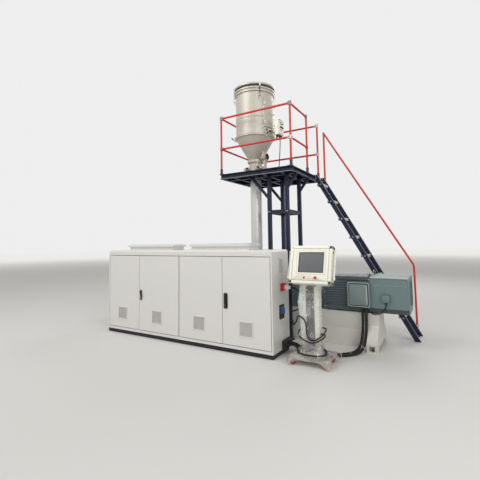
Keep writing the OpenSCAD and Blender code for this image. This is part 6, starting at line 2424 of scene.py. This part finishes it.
@dataclass
class PanelTrim:
    """Caps, frames, buttons, handle ends and castor parts of the operator panel."""

    head: str = "panel_head"
    face: float = -0.065

    def front(self, x: float, y: float, z: float) -> Matrix:
        """A place on the box's front, whose +Z looks at the operator."""
        return HEAD @ move(x, y, z) @ FRONT

    def corners(self) -> None:
        """Cast caps over the frame's corner blocks; one of them was replaced by a pale one."""
        cap = Form.span((-0.0203, -0.0513, -0.0203), (0.0203, 0.0493, 0.0203), 0.004)
        spots = {(sx, sz): HEAD @ move(sx * 0.25, 0, sz * 0.22) for sx in (-1, 1) for sz in (-1, 1)}
        pale = spots.pop((-1, 1))
        cap.spread(spots.values()).piece("panel_corner_caps", Paint.CORNER, self.head)
        cap.spread([pale]).piece("panel_corner_cap_pale", Paint.PANEL, self.head)
        screws = [self.front(sx * 0.250, -0.0513, sz * 0.220) for sx in (-1, 1) for sz in (-1, 1)]
        Form.screw(0.0045).spread(screws).piece("panel_corner_screws", Paint.CORNER, self.head)

    def bezel(self) -> None:
        """The raised frame round the window with a darker line round it, painted shadow, the
        screen's own dark frame and the front's screws.
        """
        raised = Form.ring_plate(rounded_outline(0.3270, 0.2600, 0.004), 0.0180, 0.0022)
        raised.at(
            self.front(0.008, self.face + SINK, 0.026)
        ).piece("screen_surround", Paint.PANEL, self.head)
        # a darker line round the raised frame: painted shadow
        gasket = Form.ring_plate(rounded_outline(0.3632, 0.2962, 0.006), 0.0016, 0.0012)
        gasket.at(
            self.front(0.008, self.face + SINK, 0.026)
        ).piece("screen_gasket", Paint.SEAM, self.head)
        dark = Form.ring_plate(rounded_outline(0.3050, 0.2380, 0.003), 0.0100, 0.0016)
        dark.at(
            self.front(0.008, self.face + 0.0031, 0.026)
        ).piece("screen_frame", Paint.BEZEL, self.head)
        seam = Form.ring_plate(rounded_outline(0.4584, 0.3984, 0.002), 0.0014, 0.0010)
        seam.at(self.front(0, self.face + SINK, 0)).piece("front_seam", Paint.SEAM, self.head)
        spots = [
            self.front(x, self.face - 0.0019, z) for x in (-0.1, 0.0, 0.1) for z in (0.186, -0.188)
        ]
        Form.screw(0.0032).spread(spots).piece("front_screws", Paint.BOLT, self.head)

    def buttons(self) -> None:
        """The lamp button and the mushroom stop, turned, each in its pale ring."""
        lamp = [
            (0, 0), (0.0138, 0), (0.0138, 0.004), (0.0116, 0.0052), (0.0112, 0.0086),
            (0.0088, 0.0098), (0, 0.0099),
        ]
        stop = [
            (0, 0), (0.0149, 0), (0.0149, 0.0088), (0.0186, 0.01), (0.0199, 0.0135),
            (0.0192, 0.0195), (0.015, 0.0235), (0.008, 0.0247), (0, 0.0249),
        ]
        form = Form()
        for x, profile in ((-0.068, lamp), (0.080, stop)):
            form.put(Form.lathe(profile, 36), [self.front(x, self.face, -0.168)])
        made = form.piece("panel_push_buttons", Paint.SIGNAL, self.head)
        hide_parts("panel_buttons")
        rings = Form()
        for x, r in ((-0.068, 0.0142), (0.080, 0.0154)):
            rings.put(
                Form.lathe(
                    [(r, 0), (r + 0.0052, 0), (r + 0.0046, 0.0022), (r, 0.0026)], 36, ring=True
                ),
                [self.front(x, self.face + SINK, -0.168)],
            )
        rings.piece("button_rings", Paint.HANDLE, self.head)

    def handles(self) -> None:
        """Thicker ends and mounting pads of the two side handles."""
        ends, pads = Form(), Form()
        knob = Form.rod(0.0128, 0.036, 24, 0.004).at(move(0, 0, -0.018))
        for side in (-1, 1):
            for z in (-0.163, 0.163):
                ends.put(knob, [HEAD @ move(side * 0.294, -0.020, z)])
                pads.put(
                    Form.rod(0.015, 0.005, 24, 0.0015),
                    [HEAD @ move(side * 0.2699, -0.02, z) @ turn("Y", 90 * side)],
                )
        ends.piece("side_handle_ends", Paint.HANDLE, self.head)
        pads.piece("side_handle_pads", Paint.BEZEL, self.head)

    def back(self) -> None:
        """The rear cover with its screws and slots."""
        cover = Form.plate(rounded_outline(0.380, 0.320, 0.010), 0.0022, 0.0008)
        rear = HEAD @ move(0, 0.0649, 0) @ REAR
        cover.at(rear).piece("panel_rear_cover", Paint.PANEL, self.head)
        spots = [rear @ move(x, y, 0.0021) for x in (-0.178, 0.0, 0.178) for y in (-0.148, 0.148)]
        Form.screw(0.0038).spread(spots).piece("panel_rear_screws", Paint.BOLT, self.head)
        # dark blocks in the cover's slots: painted shade
        slot = Form.block(0.070, 0.0052, 0.0012, 0.0004, 1)
        slots = [rear @ move(x, -0.08 + 0.014 * k, 0.0019) for x in (-0.11, 0.11) for k in range(6)]
        slot.spread(slots).piece("panel_rear_slots", Paint.RUBBER, self.head)
        label = Form.plate(rounded_outline(0.090, 0.050, 0.004), 0.0008, 0.0003)
        label.at(rear @ move(0, 0.080, 0.0019)).piece("panel_blank_plate", Paint.BOLT, self.head)

    def column(self) -> None:
        """The dark channels between the column's side posts, with their screws."""
        front = Form.span((1.3424, -1.1974, 0.1320), (1.4476, -1.1955, 0.9560), 0.0008, 1)
        front.piece("column_channel_front", Paint.CHANNEL)
        rear = Form.span((1.3424, -1.1045, 0.1320), (1.4476, -1.1026, 0.9560), 0.0008, 1)
        rear.piece("column_channel_rear", Paint.CHANNEL)
        spots = [
            move(x, -1.1973, z) @ FRONT for x in (1.356, 1.434) for z in (0.2, 0.45, 0.7, 0.92)
        ]
        spots += [
            move(x, -1.1027, z) @ REAR for x in (1.356, 1.434) for z in (0.2, 0.45, 0.7, 0.92)
        ]
        Form.screw(0.004).spread(spots).piece("column_screws", Paint.BOLT)
        collar = Form.hoop(0.0598, 0.0618, 0.97, 0.978, 48)
        collar.at(move(*COLUMN, 0)).piece("swivel_collar", Paint.BOLT)
        clamp = Form.rod(0.0045, 0.040, 14, 0.001)
        clamp.put(Form.rod(0.011, 0.016, 18, 0.003).at(move(0, 0, 0.038)))
        clamp.at(move(*COLUMN, 0.99) @ turn("Z", 60) @ move(0.059, 0, 0) @ RIGHT)
        clamp.piece("swivel_clamp", Paint.BLACK)

    def castors(self) -> None:
        """Swivel races, axle nuts and hubs of the castors."""
        races, nuts, hubs = Form(), Form(), Form()
        race = Form.lathe(
            [(0.015, 0.066), (0.0268, 0.066), (0.0275, 0.07), (0.0268, 0.0752), (0.015, 0.0752)],
            32,
            ring=True,
        )
        hub = Form.lathe(
            [(0.004, 0), (0.015, 0), (0.015, 0.0012), (0.011, 0.002), (0.004, 0.002)], 24, ring=True
        )
        for sx in (-1, 1):
            for sy in (-1, 1):
                at = move(COLUMN[0] + sx * 0.205, COLUMN[1] + sy * 0.155, 0)
                races.put(race, [at])
                for side in (-1, 1):
                    nuts.put(
                        Form.bolt(0.0075),
                        [at @ move(0, side * 0.0172, 0.03) @ turn("X", -90 * side)],
                    )
                    hubs.put(hub, [at @ move(0, side * 0.0100, 0.030) @ turn("X", -90 * side)])
        races.piece("castor_races", Paint.GREY)
        nuts.piece("castor_nuts", Paint.BOLT)
        hubs.piece("castor_hubs", Paint.GREY)

    def build(self) -> None:
        """Dresses the operator panel."""
        self.corners()
        self.bezel()
        self.buttons()
        self.handles()
        self.back()
        self.column()
        self.castors()


@dataclass
class FilmWrap:
    """Crumpled clear film: one length round the column, one over the base."""

    cords: Sequence[tuple[Sequence[Point], float]] = field(default_factory=list)
    column: tuple[float, float, float, float] = (1.280, 1.510, -1.210, -1.090)
    base: tuple[float, float, float, float] = (1.145, 1.645, -1.350, -0.950)
    base_top: float = 0.120
    foot: float = 0.127
    head: float = 0.968
    stations: int = 168

    def __post_init__(self) -> None:
        """Spreads points along the cords, to keep the film off them."""
        self.near: list[tuple[Vector, float]] = []
        for route, radius in self.cords:
            for p in even_path(smooth_path(route), 0.006):
                if p.x > 1.08 and p.z < 1.0:
                    self.near.append((p, radius))

    def rim(self, box: tuple[float, float, float, float], round_by: float) -> list[Vector]:
        """Points evenly along a rounded rectangle, as many as there are stations.

        Args:
            box: Lowest and highest X, then Y.
            round_by: The corners' radius.

        Returns:
            The points.
        """
        x0, x1, y0, y1 = box
        line = [Vector((x + (x0 + x1) / 2, y + (y0 + y1) / 2, 0))
                for x, y in rounded_outline(x1 - x0, y1 - y0, round_by, 6)]
        line.append(line[0].copy())
        total = path_length(line)
        points, i, gone = [], 0, 0.0
        for k in range(self.stations):
            want = total * k / self.stations
            while gone + (line[i + 1] - line[i]).length < want:
                gone += (line[i + 1] - line[i]).length
                i += 1
            step = line[i + 1] - line[i]
            points.append(line[i] + step * ((want - gone) / max(step.length, 1e-9)))
        return points

    @staticmethod
    def crease(p: Vector, size: float) -> float:
        """Crumple at a point, 0 in a fold to 1 on a ridge.

        Args:
            p: The point.
            size: Size of the folds.

        Returns:
            How far it is raised.
        """
        folded = noise.turbulence(p / size, 3, True)
        facets = noise.voronoi(p / size * 0.8)[0]
        return min(1.0, max(0.0, 0.55 * folded + 0.9 * (facets[1] - facets[0])))

    def clear(self, p: Vector, back: Vector, most: float) -> Vector:
        """Draws a point back along a direction until it's clear of the cords.

        Args:
            p: The point.
            back: The direction.
            most: How far it may go.

        Returns:
            The moved point.
        """
        moved = 0.0
        for _ in range(12):
            gap = min(((p - c).length - r for c, r in self.near), default=1.0)
            if gap > 0.003 or moved >= most:
                break
            p = p + back * 0.002
            moved += 0.002
        return p

    def skin(self, rings: list[list[Vector]], name: str) -> tuple[bpy.types.Object, float]:
        """Joins closed rings of points into one sheet, and tells its area in square metres.

        Args:
            rings: Rows of points, each closed on itself.
            name: The piece's name.

        Returns:
            The sheet and its area.
        """
        form = Form()
        rows = []
        for ring in rings:
            verts = [form.bm.verts.new(p) for p in ring]
            rows.append([form.bm.edges.new(p) for p in zip(verts, [*verts[1:], verts[0]])])
        for low, high in zip(rows, rows[1:]):
            bmesh.ops.bridge_loops(form.bm, edges=low + high)
        bmesh.ops.recalc_face_normals(form.bm, faces=form.bm.faces)
        area = sum(f.calc_area() for f in form.bm.faces)
        return form.piece(name, Paint.FILM, smooth=180), area

    def wrap(self) -> None:
        """The length round the column: tight in front, bulging at the left, flared at both ends."""
        x0, x1, y0, y1 = self.column
        levels = [self.foot + (self.head - self.foot) * (k / 84) for k in range(85)]
        rings = []
        for z in levels:
            low = max(0.0, 1 - (z - self.foot) / 0.11) ** 2
            high = max(0.0, (z - 0.90) / 0.068) ** 2
            bulge = 0.05 * math.exp(
                -((z - 0.73) / 0.17) ** 2
            ) + 0.02 * math.exp(-((z - 0.42) / 0.13) ** 2)
            spread = 0.006 + 0.040 * low + 0.010 * high
            box = (x0 - spread - bulge, x1 + 0.004 + spread, y0 - spread, y1 + spread + 0.3 * bulge)
            core = self.rim((x0, x1, y0, y1), 0.010)
            ring = []
            for p, inner in zip(self.rim(box, 0.014 + 0.5 * bulge), core):
                p.z = inner.z = z
                out = (p - inner).normalized()
                depth = (p - inner).length
                push = (
                    self.crease(p, 0.05) - 0.45
                ) * min(0.016, depth * 1.1) + (self.crease(p, 0.016) - 0.5) * 0.0025
                lift = 0.01 * high * math.sin(
                    p.x * 90 + p.y * 140
                ) + 0.006 * low * math.sin(p.x * 110 - p.y * 70)
                moved = p + out * max(push, 0.0022 - depth) + Vector(
                    (0, 0, lift if z > 0.95 else 0)
                )
                ring.append(self.clear(moved, -out, max(0.0, depth - 0.003)))
            rings.append(ring)
        made, area = self.skin(rings, "column_film")
        round(area / 0.86, 4)

    def drape(self) -> None:
        """The length over the base: crumpled on top, hanging to the floor at its corners."""
        x0, x1, y0, y1 = self.base
        foot = (1.256, 1.534, -1.234, -1.066)
        outer = self.rim((x0 - 0.003, x1 + 0.003, y0 - 0.003, y1 + 0.003), 0.012)
        inner = self.rim(foot, 0.016)
        middle = Vector(((x0 + x1) / 2, (y0 + y1) / 2, 0))
        rings = []
        flat_rings, hang_rings = 16, 11
        for k in range(flat_rings):
            part = k / (flat_rings - 1)
            ring = []
            for a, b in zip(inner, outer):
                p = a.lerp(b, part)
                rise = (
                    self.crease(p, 0.055) * 0.02 + self.crease(p, 0.018) * 0.004
                ) * math.sin(math.pi * min(1, part + 0.12))
                p.z = self.base_top + 0.0016 + rise + 0.010 * (1 - part) ** 3
                ring.append(self.clear(p, Vector((0, 0, -1)), p.z - self.base_top - 0.0014))
            rings.append(ring)
        for k in range(1, hang_rings):
            part = k / (hang_rings - 1)
            ring = []
            for b in outer:
                corner = max(
                    0.0,
                    1 - min(
                        (math.hypot(b.x - x, b.y - y) for x in (x0, x1) for y in (y0, y1))
                    ) / 0.13,
                )
                drop = 0.036 + 0.022 * self.crease(b, 0.12) + 0.050 * corner ** 1.3
                out = Vector((b.x - middle.x, b.y - middle.y, 0))
                sx, sy = math.copysign(1, out.x), math.copysign(1, out.y)
                sideways = abs(out.x) / 0.25 > abs(out.y) / 0.20
                face = Vector((sx, 0, 0)) if sideways else Vector((0, sy, 0))
                if corner > 0.85:
                    face = Vector((0.7 * sx, 0.7 * sy, 0))
                p = b.copy()
                p.z = max(0.006, self.base_top + 0.0016 - drop * part)
                wave = self.crease(Vector((p.x, p.y, p.z * 0.4)), 0.035)
                p += face * (0.0012 + (0.016 * wave + 0.030 * corner ** 2) * part ** 0.8)
                ring.append(self.clear(p, -face, 0.02))
            rings.append(ring)
        made, area = self.skin(rings, "base_film")

    def build(self) -> None:
        """Lays both lengths."""
        self.wrap()
        self.drape()


def main() -> None:
    """Builds the studio and every sub-assembly in order."""
    logging.basicConfig(level=logging.INFO, format="%(message)s")
    Studio().build()
    Cables().build()
    CadFinishes().dress()
    trims = (CabinetTrim, SideFittings, ExtruderTrim, MotorTrim, TowerTrim, RailTrim, StairTrim,
             HopperTrim, DryerTrim, PanelTrim)
    for trim in trims:
        trim().build()
    FilmWrap(Cables().near_panel()).build()


if __name__ == "__main__":
    main()
